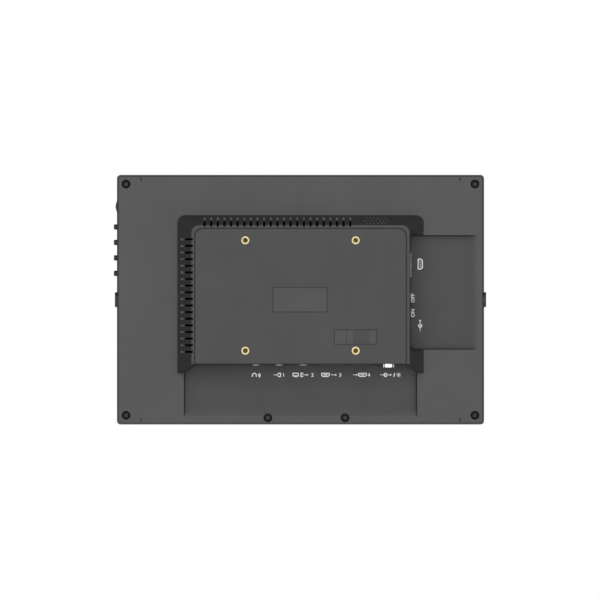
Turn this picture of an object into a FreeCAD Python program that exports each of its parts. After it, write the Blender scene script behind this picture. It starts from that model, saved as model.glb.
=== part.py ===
import FreeCAD, Part
import math
import os
import Sketcher

# A camera field monitor with its casing, display, boards, controls and connectors.
# The origin is the centre of the four mounting inserts on the rear face. +Y points
# out of the rear, +Z is up, +X is the right hand of someone who looks at the screen.
# Depths are measured from the rear face towards the screen, along -Y.

SIZES = {
    # casing
    "body_width": 250.0,
    "body_height": 170.0,
    "body_corner": 2.5,
    "body_drop": 2.85,
    "hump_rise": 12.0,
    "cover_side": 12.0,
    "bezel_depth": 6.0,
    "wall": 2.2,
    "cover_draft": 0.9,
    "edge_round": 0.5,
    # raised hump and its groove
    "hump_half": 74.1,
    "hump_flare": 9.8,
    "hump_top": 47.8,
    "hump_top_flare": 6.9,
    "hump_foot": 52.8,
    "hump_foot_lean": 0.6,
    "hump_corner": 6.5,
    "bevel_inset": 1.0,
    "groove_inset": 2.2,
    "groove_width": 0.8,
    "groove_depth": 1.2,
    "groove_corner": 5.5,
    # connector bay along the lower edge
    "bay_depth": 4.0,
    "bay_half": 78.5,
    "bay_shoulder": 71.4,
    "bay_wall": 47.5,
    "bay_diagonal": 5.0,
    "bay_margin": 4.95,
    "bay_lean": 0.9,
    "wall_lean": 1.4,
    "scoop_radius": 8.5,
    "cut_over": 1.0,
    # connector bay at the side
    "recess_top": 40.2,
    "recess_bottom": 36.0,
    "recess_margin": 5.3,
    "recess_corner": 2.7,
    "recess_lean": 1.0,
    # vents and speaker holes
    "vent_pitch": 4.5,
    "vent_width": 1.5,
    "vent_floor": 8.9,
    "vent_bite": 1.0,
    "vent_top_start": 65.2,
    "vent_top_count": 23,
    "vent_side_start": 38.2,
    "vent_side_count": 18,
    "grille_centre": 51.35,
    "grille_rise": 3.1,
    "grille_hole": 1.5,
    "grille_pitch": 2.6,
    "grille_row": 1.8,
    "grille_count": 6,
    # casing screws
    "screw_inset": 6.35,
    "low_screw_inset": 4.65,
    "low_screw_left": 22.2,
    "low_screw_right": 30.3,
    "screw_head": 4.4,
    "screw_head_height": 1.5,
    "screw_thread": 2.6,
    "screw_length": 9.8,
    "screw_cross": 2.6,
    "screw_cross_width": 0.7,
    "screw_cross_depth": 0.8,
    "screw_play": 0.1,
    "head_play": 0.85,
    "head_sink": 3.4,
    "boss_wall": 1.6,
    "notch_offset": 16.5,
    "notch_width": 1.0,
    "notch_length": 2.4,
    "notch_margin": 1.9,
    "notch_depth": 1.0,
    # mounting inserts
    "insert_pitch": 75.0,
    "insert_outer": 5.4,
    "insert_bore": 3.3,
    "insert_length": 5.0,
    "insert_play": 0.05,
    "insert_boss": 10.0,
    "insert_floor": 1.0,
    # side sockets
    "socket_flange": 10.2,
    "socket_proud": 1.3,
    "socket_shank": 8.0,
    "socket_length": 5.5,
    "socket_bore": 5.2,
    "socket_play": 0.1,
    "socket_block": 12.0,
    # labels
    "rating_width": 37.2,
    "rating_height": 17.0,
    "rating_shift": 0.3,
    "rating_drop": 2.9,
    "serial_width": 29.1,
    "serial_height": 10.3,
    "serial_shift": 37.35,
    "serial_drop": 28.25,
    "label_sink": 0.25,
    "label_thick": 0.15,
    "label_play": 0.15,
    # bezel and display
    "lip": 2.0,
    "border_side": 16.2,
    "border_top": 16.9,
    "lip_chamfer": 0.8,
    "post_outer": 6.0,
    "post_play": 0.15,
    "panel_margin_side": 10.5,
    "panel_margin_top": 11.0,
    "gasket_thick": 0.5,
    "gasket_width": 4.5,
    "glass_thick": 1.1,
    "cell_thick": 1.4,
    "guide_thick": 2.4,
    "chassis_thick": 0.6,
    "panel_play": 0.15,
    "led_height": 3.0,
    "led_thick": 1.6,
    "bracket_thick": 0.8,
    "bracket_width": 14.0,
    "bracket_lap": 6.0,
    "bracket_shift": 60.0,
    "bracket_reach": 3.2,
    "bracket_edge": 3.2,
    "bracket_post": 5.0,
    "driver_width": 70.0,
    "driver_height": 12.0,
    "driver_thick": 1.0,
    "driver_drop": 34.0,
    # small screws
    "small_head": 3.6,
    "small_head_height": 1.0,
    "small_thread": 2.0,
    "small_length": 5.0,
    "small_end": 0.3,
    "small_play": 0.05,
    # main board
    "board_depth": 12.0,
    "board_thick": 1.6,
    "board_gap": 1.6,
    "board_top": 37.0,
    "board_side": 66.0,
    "board_hole_side": 54.0,
    "board_hole_up": 29.0,
    "board_hole_down": 20.0,
    "standoff_outer": 5.6,
    "chip_side": 16.0,
    "chip_thick": 1.6,
    "sink_side": 26.0,
    "sink_base": 1.2,
    "sink_fin": 3.6,
    "sink_fin_thick": 1.2,
    "sink_fin_count": 7,
    "capacitor_outer": 5.0,
    "capacitor_height": 6.0,
    "capacitor_pitch": 7.0,
    "capacitor_count": 4,
    "capacitor_side": 40.0,
    "capacitor_up": 12.0,
    # connectors of the lower bay
    "port_play": 0.25,
    "jack_axis": 2.9,
    "jack_width": 7.0,
    "jack_height": 5.6,
    "jack_length": 12.0,
    "jack_nose": 5.2,
    "jack_bore": 3.6,
    "jack_bore_depth": 14.0,
    "jack_proud": 0.8,
    "ear_shift": 30.2,
    "av_shift": 14.5,
    "video_shift": 1.9,
    "digital_width": 15.0,
    "digital_height": 5.6,
    "digital_length": 11.5,
    "digital_shell": 0.5,
    "digital_back": 1.5,
    "tongue_width": 11.5,
    "tongue_thick": 1.2,
    "tongue_sink": 1.0,
    "digital_out_shift": 21.4,
    "digital_in_shift": 41.5,
    "tally_shift": 59.9,
    "tally_outer": 6.0,
    "tally_length": 9.0,
    "tally_base": 7.6,
    "tally_bore": 4.6,
    "tally_bore_depth": 6.0,
    "tally_pin": 0.7,
    "tally_pin_circle": 2.2,
    "tally_pin_count": 4,
    "tally_proud": 2.6,
    "nut_outer": 7.8,
    "nut_thick": 2.2,
    "nut_play": 0.1,
    "nut_flutes": 12,
    "nut_flute": 1.0,
    # connectors of the side bay
    "dsub_up": 20.9,
    "dsub_depth": 8.6,
    "dsub_long": 16.4,
    "dsub_slant": 1.2,
    "dsub_tall": 8.2,
    "dsub_shell": 0.5,
    "dsub_proud": 0.8,
    "dsub_flange_long": 25.0,
    "dsub_flange_tall": 11.6,
    "dsub_flange_thick": 1.0,
    "dsub_body": 9.0,
    "dsub_pin": 1.0,
    "dsub_pin_pitch": 2.3,
    "dsub_row_pitch": 2.0,
    "dsub_pin_depth": 5.0,
    "switch_down": 7.1,
    "switch_depth": 9.0,
    "switch_body_long": 9.4,
    "switch_body_tall": 5.4,
    "switch_body_deep": 5.0,
    "switch_knob_long": 2.4,
    "switch_knob_tall": 1.6,
    "switch_knob_proud": 1.6,
    "switch_foot": 1.6,
    "switch_travel": 2.0,
    "switch_play": 0.3,
    "dc_down": 20.5,
    "dc_axis": 4.6,
    "dc_block": 9.0,
    "dc_length": 12.0,
    "dc_nose": 8.0,
    "dc_bore": 6.3,
    "dc_bore_depth": 9.5,
    "dc_pin": 2.0,
    "dc_pin_sink": 1.0,
    # keys
    "dial_from_top": 21.55,
    "button_from_dial": 14.0,
    "button_pitch": 10.5,
    "button_count": 4,
    "button_outer": 3.7,
    "button_proud": 2.0,
    "button_round": 0.5,
    "button_flange": 5.4,
    "button_flange_thick": 1.0,
    "button_stem": 2.0,
    "button_play": 0.15,
    "button_rest": 0.2,
    "plunger_outer": 1.8,
    "plunger_proud": 1.0,
    "plunger_inside": 1.0,
    "plunger_play": 0.1,
    "key_switch_side": 4.6,
    "key_switch_tall": 2.4,
    "key_board_gap": 5.5,
    "key_board_thick": 1.2,
    "key_board_deep": 6.4,
    "key_board_end": 5.0,
    "key_post": 4.0,
    # dial
    "dial_outer": 15.8,
    "dial_thick": 3.0,
    "dial_proud": 1.0,
    "dial_teeth": 36,
    "dial_tooth": 0.8,
    "dial_chamfer": 0.5,
    "dial_gap": 0.4,
    "dial_pin": 3.0,
    "dial_bore_play": 0.05,
    "carrier_thick": 1.0,
    "carrier_half": 5.4,
    "carrier_back": 10.5,
    "carrier_front": 2.4,
    "dial_step": 0.3,
    "clip_outer": 5.6,
    "clip_thick": 0.7,
    "frame_thick": 0.6,
    "frame_rail": 1.2,
    "frame_ear": 6.0,
    "frame_ear_width": 6.0,
    "frame_ear_back": 9.1,
    "dial_post_outer": 4.4,
    "push_switch_long": 2.5,
    "push_travel": 0.5,
    # speaker behind its holes
    "speaker_long": 18.0,
    "speaker_wide": 10.0,
    "speaker_deep": 2.4,
    "speaker_rim": 1.2,
    "speaker_gasket_thick": 0.8,
    "cone_thick": 0.5,
    "cone_sink": 0.6,
    "magnet_long": 10.0,
    "magnet_wide": 6.0,
    "magnet_deep": 1.8,
    # ribbons
    "ribbon_thick": 0.3,
    "panel_ribbon_width": 24.0,
    "key_ribbon_width": 8.0,
    "ribbon_rise": 9.0,
    "ribbon_lap": 4.0,
    "key_ribbon_up": 24.0,
}

doc = FreeCAD.newDocument("field_monitor")
sheet = doc.addObject("Spreadsheet::Sheet", "Dims")
for row, (alias, number) in enumerate(SIZES.items(), 1):
    sheet.set(f"A{row}", alias)
    sheet.set(f"B{row}", str(number))
    sheet.setAlias(f"B{row}", alias)
doc.recompute()


class Size:
    """A length with the sheet formula that drives it and the value it has now."""

    def __init__(self, formula, value):
        self.formula = formula
        self.value = float(value)

    def __add__(self, other):
        other = as_size(other)
        return Size(f"({self.formula} + {other.formula})", self.value + other.value)

    def __sub__(self, other):
        other = as_size(other)
        return Size(f"({self.formula} - {other.formula})", self.value - other.value)

    def __mul__(self, other):
        other = as_size(other)
        return Size(f"({self.formula} * {other.formula})", self.value * other.value)

    def __truediv__(self, other):
        other = as_size(other)
        return Size(f"({self.formula} / {other.formula})", self.value / other.value)

    def __neg__(self):
        return Size(f"(-{self.formula})", -self.value)

    def __radd__(self, other):
        return as_size(other) + self

    def __rsub__(self, other):
        return as_size(other) - self

    def __rmul__(self, other):
        return as_size(other) * self


def as_size(number):
    return number if isinstance(number, Size) else Size(f"({number})", number)


def root(size):
    return Size(f"sqrt({size.formula})", math.sqrt(size.value))


class Sheet:
    """The sheet's cells by name."""

    def __getattr__(self, alias):
        return Size(f"Dims.{alias}", sheet.get(alias))


d = Sheet()
VEC = FreeCAD.Vector
ZERO = as_size(0)
ALONG_X = FreeCAD.Rotation(VEC(0, 1, 0), 90)
ALONG_Y = FreeCAD.Rotation(VEC(1, 0, 0), -90)
ALONG_MINUS_Y = FreeCAD.Rotation(VEC(1, 0, 0), 90)
nodes = {}


def bind(thing, prop, size):
    thing.setExpression(prop, as_size(size).formula)


def move(thing, x=ZERO, y=ZERO, z=ZERO):
    bind(thing, "Placement.Base.x", x)
    bind(thing, "Placement.Base.y", y)
    bind(thing, "Placement.Base.z", z)


def node(label, thing):
    thing.Label = label
    nodes[label] = thing
    return thing


def block(name, x, depth, z):
    """A box between two values of X, two depths and two heights."""
    box = doc.addObject("Part::Box", name)
    bind(box, "Length", x[1] - x[0])
    bind(box, "Width", depth[1] - depth[0])
    bind(box, "Height", z[1] - z[0])
    move(box, x[0], -as_size(depth[1]), z[0])
    return box


def rod(name, diameter, axis, span, centre):
    """A cylinder along X, Y or Z; centre holds its other two coordinates, with depth for Y."""
    bar = doc.addObject("Part::Cylinder", name)
    bind(bar, "Radius", diameter / 2)
    bind(bar, "Height", span[1] - span[0])
    if axis == "X":
        bar.Placement = FreeCAD.Placement(VEC(), ALONG_X)
        move(bar, span[0], -centre[0], centre[1])
    elif axis == "Y":
        bar.Placement = FreeCAD.Placement(VEC(), ALONG_Y)
        move(bar, centre[0], -as_size(span[1]), centre[1])
    else:
        move(bar, centre[0], -centre[1], span[0])
    return bar


def join(name, shapes):
    fused = doc.addObject("Part::MultiFuse", name)
    fused.Shapes = shapes
    return fused


def cut(name, base, tools):
    tool = tools[0] if len(tools) == 1 else join(f"{name}_tools", tools)
    result = doc.addObject("Part::Cut", name)
    result.Base = base
    result.Tool = tool
    return result


def new_body(name):
    return doc.addObject("PartDesign::Body", name)


def new_sketch(body, name, role, offset):
    sketch = body.newObject("Sketcher::SketchObject", name)
    plane = next(f for f in body.Origin.OriginFeatures if f.Role == role)
    sketch.AttachmentSupport = (plane, [""])
    sketch.MapMode = "FlatFace"
    bind(sketch, "AttachmentOffset.Base.z", offset)
    return sketch


def pin_point(sketch, line, end, point):
    for kind, size in zip(("DistanceX", "DistanceY"), point):
        size = as_size(size)
        index = sketch.addConstraint(Sketcher.Constraint(kind, line, end, size.value))
        bind(sketch, f"Constraints[{index}]", size)


def draw(sketch, loops):
    """Closed loops of straight lines through the given points."""
    for points in loops:
        ends = [VEC(as_size(x).value, as_size(y).value, 0) for x, y in points]
        first = sketch.GeometryCount
        for index, start in enumerate(ends):
            sketch.addGeometry(Part.LineSegment(start, ends[(index + 1) % len(ends)]), False)
        for index in range(len(ends)):
            after = first + (index + 1) % len(ends)
            sketch.addConstraint(Sketcher.Constraint("Coincident", first + index, 2, after, 1))
        for index, point in enumerate(points):
            pin_point(sketch, first + index, 1, point)
    return sketch


def draw_circles(sketch, circles):
    for x, y, diameter in circles:
        x, y, radius = as_size(x), as_size(y), as_size(diameter) / 2
        shape = Part.Circle(VEC(x.value, y.value, 0), VEC(0, 0, 1), radius.value)
        line = sketch.addGeometry(shape, False)
        index = sketch.addConstraint(Sketcher.Constraint("Radius", line, radius.value))
        bind(sketch, f"Constraints[{index}]", radius)
        pin_point(sketch, line, 3, (x, y))
    return sketch


def draw_rounded(sketch, x, y, corner, bent=(0, 1, 2, 3)):
    """A rectangle with quarter arcs at the corners named, counted from the lower right."""
    zero = as_size(0)
    runs = []
    for n, (px, py, sx, sy) in enumerate(
        ((x[1], y[0], -1, 1), (x[1], y[1], -1, -1), (x[0], y[1], 1, -1), (x[0], y[0], 1, 1))
    ):
        size = corner if n in bent else zero
        beside, above = (px + sx * size, py), (px, py + sy * size)
        runs.append((beside, above, size, n) if n % 2 == 0 else (above, beside, size, n))
    pieces = []
    for n, (entry, leave, size, quarter) in enumerate(runs):
        if size is not zero:
            middle = VEC(
                (entry[0] if quarter % 2 == 0 else leave[0]).value,
                (leave[1] if quarter % 2 == 0 else entry[1]).value,
                0,
            )
            circle = Part.Circle(middle, VEC(0, 0, 1), size.value)
            start = (quarter - 1) * math.pi / 2
            arc = Part.ArcOfCircle(circle, start, start + math.pi / 2)
            bend = sketch.addGeometry(arc, False)
            index = sketch.addConstraint(Sketcher.Constraint("Radius", bend, size.value))
            bind(sketch, f"Constraints[{index}]", size)
            pieces.append(bend)
        after = runs[(n + 1) % 4][0]
        ends = [VEC(px.value, py.value, 0) for px, py in (leave, after)]
        line = sketch.addGeometry(Part.LineSegment(*ends), False)
        pieces.append(line)
        pin_point(sketch, line, 1, leave)
        if runs[(n + 1) % 4][2] is not zero:
            pin_point(sketch, line, 2, after)
    for n, piece in enumerate(pieces):
        after = pieces[(n + 1) % len(pieces)]
        sketch.addConstraint(Sketcher.Constraint("Coincident", piece, 2, after, 1))
    return sketch


def rectangle(x, y):
    return [(x[0], y[0]), (x[1], y[0]), (x[1], y[1]), (x[0], y[1])]


def draw_ramp(sketch, crest, corner, foot, middle, radius):
    """A ramp with a hollow face: two straight sides and an arc from its crest to its foot."""
    at = [VEC(x.value, y.value, 0) for x, y in (crest, corner, foot)]
    back = sketch.addGeometry(Part.LineSegment(at[0], at[1]), False)
    base = sketch.addGeometry(Part.LineSegment(at[1], at[2]), False)
    centre = VEC(middle[0].value, middle[1].value, 0)
    turns = [math.atan2(*(end - centre)[1::-1]) % (2 * math.pi) for end in (at[0], at[2])]
    circle = Part.Circle(centre, VEC(0, 0, 1), radius.value)
    face = sketch.addGeometry(Part.ArcOfCircle(circle, min(turns), max(turns)), False)
    high, low = (1, 2) if turns[0] < turns[1] else (2, 1)
    for first, second in (((back, 2), (base, 1)), ((face, high), (back, 1)), ((face, low), (base, 2))):
        sketch.addConstraint(Sketcher.Constraint("Coincident", *first, *second))
    pin_point(sketch, back, 1, crest)
    pin_point(sketch, base, 1, corner)
    pin_point(sketch, base, 2, foot)
    index = sketch.addConstraint(Sketcher.Constraint("Radius", face, radius.value))
    bind(sketch, f"Constraints[{index}]", radius)
    return sketch


def rear_loops(body, name, depth, loops):
    return draw(new_sketch(body, name, "XZ_Plane", depth), loops)


def rear_circles(body, name, depth, circles):
    return draw_circles(new_sketch(body, name, "XZ_Plane", depth), circles)


def settle(body, feature, before, growth):
    """Recompute, and see that the feature made the body larger or smaller as it should."""
    body.Tip = feature
    doc.recompute()
    if (feature.Shape.Volume - before) * growth <= 0:
        raise RuntimeError(f"{feature.Name} changed nothing")
    return feature


def volume(body):
    return body.Tip.Shape.Volume if body.Tip else 0.0


def grow(body, sketch, name, length, forward=True):
    """A pad along the sketch's normal, or against it."""
    before = volume(body)
    pad = body.newObject("PartDesign::Pad", name)
    pad.Profile = sketch
    bind(pad, "Length", length)
    pad.Reversed = not forward
    return settle(body, pad, before, 1)


def sink(body, sketch, name, length, forward=True):
    """A pocket along the sketch's normal, or against it."""
    before = volume(body)
    pocket = body.newObject("PartDesign::Pocket", name)
    pocket.Profile = sketch
    bind(pocket, "Length", length)
    pocket.Reversed = forward
    return settle(body, pocket, before, -1)


def loft(body, name, near, far, growth):
    before = volume(body)
    kind = "PartDesign::AdditiveLoft" if growth > 0 else "PartDesign::SubtractiveLoft"
    shape = body.newObject(kind, name)
    shape.Profile = near
    shape.Sections = [far]
    shape.Ruled = True
    return settle(body, shape, before, growth)


def turn(body, sketch, name, axis):
    before = volume(body)
    spun = body.newObject("PartDesign::Revolution", name)
    spun.Profile = sketch
    spun.ReferenceAxis = (sketch, [axis])
    spun.Angle = 360
    return settle(body, spun, before, 1)


def ease(body, kind, name, size, wanted):
    """A fillet or a chamfer on the edges that the test picks."""
    base = body.Tip
    edges = [f"Edge{n}" for n, edge in enumerate(base.Shape.Edges, 1) if wanted(edge)]
    if not edges:
        raise RuntimeError(f"{name} found no edge")
    feature = body.newObject(f"PartDesign::{kind}", name)
    feature.Base = (base, edges)
    bind(feature, "Radius" if kind == "Fillet" else "Size", size)
    body.Tip = feature
    doc.recompute()
    if feature.Shape.isNull() or abs(feature.Shape.Volume - base.Shape.Volume) < 1e-6:
        raise RuntimeError(f"{name} failed on {edges}")
    return feature


def line_up(body, original, name, axis, count, pitch):
    before = volume(body)
    pattern = body.newObject("PartDesign::LinearPattern", name)
    pattern.Originals = [original]
    pattern.Direction = axis
    pattern.Reversed = True
    bind(pattern, "Length", (count - 1) * pitch)
    bind(pattern, "Occurrences", count)
    return settle(body, pattern, before, -1)


def ring(body, original, name, axis, count, growth):
    before = volume(body)
    pattern = body.newObject("PartDesign::PolarPattern", name)
    pattern.Originals = [original]
    pattern.Axis = axis
    pattern.Angle = 360
    bind(pattern, "Occurrences", count)
    return settle(body, pattern, before, growth)


def copies(label, master, places):
    """One node that holds a separate solid at each place."""
    doc.recompute()
    solids = []
    for base, rotation in places:
        solid = master.Shape.copy()
        point = VEC(*(as_size(size).value for size in base))
        solid.Placement = FreeCAD.Placement(point, rotation)
        solids.append(solid)
    group = doc.addObject("Part::Feature", label)
    group.Shape = Part.makeCompound(solids)
    return node(label, group)


def both(low, high):
    return (as_size(low), as_size(high))


def about(middle, size):
    middle = as_size(middle)
    return (middle - size / 2, middle + size / 2)


# Levels and edges that the pieces share
HALF = d.body_width / 2
MID = -d.body_drop
TOP = MID + d.body_height / 2
BOTTOM = MID - d.body_height / 2
PLATE = d.hump_rise
PLATE_IN = PLATE + d.wall
PARTING = PLATE + d.cover_side
FRONT = PARTING + d.bezel_depth
LIP = FRONT - d.lip
FLOOR = PLATE + d.bay_depth
TRAY = FLOOR + d.wall
INNER_X = HALF - d.wall - d.cover_draft
INNER_TOP = TOP - d.wall - d.cover_draft
INNER_BOTTOM = BOTTOM + d.wall + d.cover_draft
SCOOP = root(d.bay_depth * (2 * d.scoop_radius - d.bay_depth))
BAY_END = BOTTOM + d.bay_margin
RECESS_END = d.recess_margin - HALF
CONTROL = PLATE + d.cover_side / 2
LEAN_HEIGHT = FLOOR + d.cut_over
BAY_INSIDE = d.wall_lean + d.wall - d.bay_wall
SIDE_INSIDE = d.wall - d.hump_half
BOARD = d.board_depth
BOARD_FRONT = BOARD + d.board_thick
DIAL_Z = TOP - d.dial_from_top
DIAL_X = HALF + d.dial_proud - d.dial_outer / 2


def bay_face(depth):
    """Height of the lower bay's leaning wall at a depth."""
    return d.wall_lean * (FLOOR - depth) / LEAN_HEIGHT - d.bay_wall


def side_face(depth):
    """X of the side bay's leaning wall at a depth."""
    return -d.hump_half - d.recess_lean * (depth + d.cut_over) / LEAN_HEIGHT


SCREW_SPOTS = [
    (HALF - d.screw_inset, TOP - d.screw_inset),
    (d.screw_inset - HALF, TOP - d.screw_inset),
    (HALF - d.screw_inset, BOTTOM + d.screw_inset),
    (d.screw_inset - HALF, BOTTOM + d.screw_inset),
    (d.low_screw_left, BOTTOM + d.low_screw_inset),
    (-d.low_screw_right, BOTTOM + d.low_screw_inset),
]
CORNER_SPOTS = SCREW_SPOTS[:4]
INSERT = d.insert_pitch / 2
INSERT_SPOTS = [(INSERT, INSERT), (-INSERT, INSERT), (INSERT, -INSERT), (-INSERT, -INSERT)]
BOARD_SPOTS = [
    (d.board_hole_side, d.board_hole_up),
    (-d.board_hole_side, d.board_hole_up),
    (d.board_hole_side, -d.board_hole_down),
    (-d.board_hole_side, -d.board_hole_down),
]
DIAL_POST_X = DIAL_X - d.frame_ear_back
DIAL_POST_RISE = d.carrier_half + d.dial_step + d.frame_rail + d.frame_ear / 2
DIAL_SPOTS = [(DIAL_POST_X, DIAL_Z + DIAL_POST_RISE), (DIAL_POST_X, DIAL_Z - DIAL_POST_RISE)]
SERIAL_SPOT = (-d.serial_shift, -d.serial_drop)
RATING_SPOT = (d.rating_shift, -d.rating_drop)
SMALL_HOLE = d.small_thread + 2 * d.small_play
BUTTON_COUNT = int(d.button_count.value)
BUTTON_Z = [DIAL_Z - d.button_from_dial - n * d.button_pitch for n in range(BUTTON_COUNT)]
KEY_POST_Z = [(BUTTON_Z[n] + BUTTON_Z[n + 1]) / 2 for n in (0, BUTTON_COUNT - 2)]
JACKS = {"ear_jack": d.ear_shift, "av_in_jack": d.av_shift, "video_out_jack": -d.video_shift}
JACK_DEPTH = BOARD - d.jack_axis
DIGITALS = {
    "digital_out_socket": -d.digital_out_shift,
    "digital_in_socket": -d.digital_in_shift,
}
DIGITAL_DEPTH = BOARD - d.digital_height / 2
DC_DEPTH = BOARD - d.dc_axis
TALLY_SEAT = bay_face(JACK_DEPTH - d.nut_outer / 2)
SOCKET_SEAT = HALF - d.cover_draft


# Rear cover, a moulded shell
cover = new_body("rear_cover")
draft_x = HALF - d.cover_draft
draft_z = (BOTTOM + d.cover_draft, TOP - d.cover_draft)
foot_edge = new_sketch(cover, "parting_edge", "XZ_Plane", PARTING)
draw_rounded(foot_edge, (-HALF, HALF), (BOTTOM, TOP), d.body_corner)
back_edge = new_sketch(cover, "shoulder_edge", "XZ_Plane", PLATE + d.edge_round)
draw_rounded(back_edge, (-draft_x, draft_x), draft_z, d.body_corner)
loft(cover, "slab", foot_edge, back_edge, 1)
shoulder_edge = new_sketch(cover, "eased_edge", "XZ_Plane", PLATE + d.edge_round)
draw_rounded(shoulder_edge, (-draft_x, draft_x), draft_z, d.body_corner)
plate_edge = new_sketch(cover, "plate_edge", "XZ_Plane", PLATE)
draw_rounded(
    plate_edge, (d.edge_round - draft_x, draft_x - d.edge_round),
    (draft_z[0] + d.edge_round, draft_z[1] - d.edge_round), d.body_corner,
)
loft(cover, "plate_ease", shoulder_edge, plate_edge, 1)
flare_half = d.hump_half + d.hump_flare
flare_top = d.hump_top + d.hump_top_flare
hump_low = rear_loops(
    cover, "hump_foot_edge", PLATE,
    [rectangle((-flare_half, flare_half), (-d.hump_foot, flare_top))],
)
hump_high = rear_loops(
    cover, "hump_face_edge", ZERO,
    [rectangle((-d.hump_half, d.hump_half), (d.hump_foot_lean - d.hump_foot, d.hump_top))],
)
loft(cover, "hump", hump_low, hump_high, 1)
ease(
    cover, "Fillet", "hump_corners", d.hump_corner,
    lambda edge: abs(edge.BoundBox.YLength - PLATE.value) < 1e-6 and edge.BoundBox.ZMin > 0,
)

# Lower connector bay with its leaning walls and scooped end
lean_top = d.bay_lean * LEAN_HEIGHT / d.bay_depth


def bay_outline(half, shoulder, wall_z, corner_z, end_z):
    return [
        (-half, end_z), (half, end_z), (half, corner_z),
        (shoulder, wall_z), (-shoulder, wall_z), (-half, corner_z),
    ]


corner_low = -d.bay_wall - d.bay_diagonal
bay_low = rear_loops(
    cover, "bay_floor_edge", FLOOR,
    [bay_outline(d.bay_half, d.bay_shoulder, -d.bay_wall, corner_low, BAY_END)],
)
bay_high = rear_loops(
    cover, "bay_mouth_edge", -d.cut_over,
    [bay_outline(
        d.bay_half + lean_top, d.bay_shoulder + d.wall_lean, d.wall_lean - d.bay_wall,
        corner_low + d.wall_lean / 2, BAY_END,
    )],
)
loft(cover, "bay", bay_low, bay_high, -1)
ramp_x = d.bay_half + lean_top
bay_ramp = draw_ramp(
    new_sketch(cover, "bay_ramp_edge", "YZ_Plane", -ramp_x),
    (-PLATE, BAY_END), (-FLOOR, BAY_END), (-FLOOR, BAY_END + SCOOP),
    (d.scoop_radius - FLOOR, BAY_END + SCOOP), d.scoop_radius,
)
grow(cover, bay_ramp, "bay_ramp", 2 * ramp_x)

# Side connector bay
recess_z = (-d.recess_bottom, d.recess_top)
recess_low = draw_rounded(
    new_sketch(cover, "recess_floor_edge", "XZ_Plane", FLOOR),
    (RECESS_END, -d.hump_half - d.recess_lean), recess_z, d.recess_corner, (0, 1),
)
recess_high = draw_rounded(
    new_sketch(cover, "recess_mouth_edge", "XZ_Plane", -d.cut_over),
    (RECESS_END, -d.hump_half), (recess_z[0] - lean_top, recess_z[1] + lean_top),
    d.recess_corner, (0, 1),
)
loft(cover, "recess", recess_low, recess_high, -1)
recess_ramp = draw_ramp(
    new_sketch(cover, "recess_ramp_edge", "XY_Plane", recess_z[0] - lean_top),
    (RECESS_END, -PLATE), (RECESS_END, -FLOOR), (RECESS_END + SCOOP, -FLOOR),
    (RECESS_END + SCOOP, d.scoop_radius - FLOOR), d.scoop_radius,
)
grow(cover, recess_ramp, "recess_ramp", d.recess_top + d.recess_bottom + 2 * lean_top)

# Hollow of the shell, which leaves a wall under both bays
inner_x = (-INNER_X, INNER_X)
inner_z = (INNER_BOTTOM, INNER_TOP)
hollow = rear_loops(cover, "hollow_edge", PARTING, [rectangle(inner_x, inner_z)])
sink(cover, hollow, "hollow", PARTING - TRAY, forward=False)
bay_out = d.bay_half + d.wall
recess_in = (recess_z[0] - d.wall, recess_z[1] + d.wall)
step = rear_loops(
    cover, "hollow_step_edge", TRAY,
    [[
        (INNER_X, INNER_BOTTOM), (INNER_X, INNER_TOP), (-INNER_X, INNER_TOP),
        (-INNER_X, recess_in[1]), (SIDE_INSIDE, recess_in[1]), (SIDE_INSIDE, recess_in[0]),
        (-INNER_X, recess_in[0]), (-INNER_X, INNER_BOTTOM), (-bay_out, INNER_BOTTOM),
        (-bay_out, BAY_INSIDE), (bay_out, BAY_INSIDE), (bay_out, INNER_BOTTOM),
    ]],
)
sink(cover, step, "hollow_step", TRAY - PLATE_IN, forward=False)


def hump_hollow(half, top):
    return [
        (half, BAY_INSIDE), (half, top), (-half, top), (-half, recess_in[1]),
        (SIDE_INSIDE, recess_in[1]), (SIDE_INSIDE, recess_in[0]),
        (-half, recess_in[0]), (-half, BAY_INSIDE),
    ]


deep_low = rear_loops(
    cover, "hump_hollow_foot", PLATE_IN,
    [hump_hollow(flare_half - d.bevel_inset, flare_top - d.bevel_inset)],
)
deep_high = rear_loops(
    cover, "hump_hollow_face", d.wall,
    [hump_hollow(d.hump_half - d.bevel_inset, d.hump_top - d.bevel_inset)],
)
loft(cover, "hump_hollow", deep_low, deep_high, -1)

# Bosses inside the cover
boss_start = d.wall / 2
insert_boss = rear_circles(
    cover, "insert_boss_edges", boss_start, [(x, z, d.insert_boss) for x, z in INSERT_SPOTS],
)
grow(cover, insert_boss, "insert_bosses", d.insert_length + d.insert_floor - boss_start)
standoffs = rear_circles(
    cover, "standoff_edges", boss_start, [(x, z, d.standoff_outer) for x, z in BOARD_SPOTS],
)
grow(cover, standoffs, "standoffs", BOARD - boss_start)
corner_boss = rear_circles(
    cover, "corner_boss_edges", PLATE + d.wall / 2,
    [(x, z, d.screw_head + 2 * (d.head_play + d.boss_wall)) for x, z in CORNER_SPOTS],
)
grow(cover, corner_boss, "corner_bosses", TRAY - PLATE - d.wall / 2)
FRAME_EAR = CONTROL + d.dial_thick / 2 + d.dial_step
dial_posts = rear_circles(
    cover, "dial_post_edges", PLATE + d.wall / 2, [(x, z, d.dial_post_outer) for x, z in DIAL_SPOTS],
)
grow(cover, dial_posts, "dial_posts", FRAME_EAR - PLATE - d.wall / 2)
socket_z = about(MID, d.socket_block)
SOCKET_END = SOCKET_SEAT - d.socket_length
socket_low = (SOCKET_END, INNER_X + d.wall / 2)
socket_blocks = rear_loops(
    cover, "socket_block_edges", PLATE + d.wall / 2,
    [
        rectangle(socket_low, socket_z),
        rectangle((-socket_low[1], -socket_low[0]), socket_z),
    ],
)
grow(
    cover, socket_blocks, "socket_blocks",
    CONTROL + d.socket_shank / 2 + d.boss_wall - d.socket_play - PLATE - d.wall / 2,
)
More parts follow.
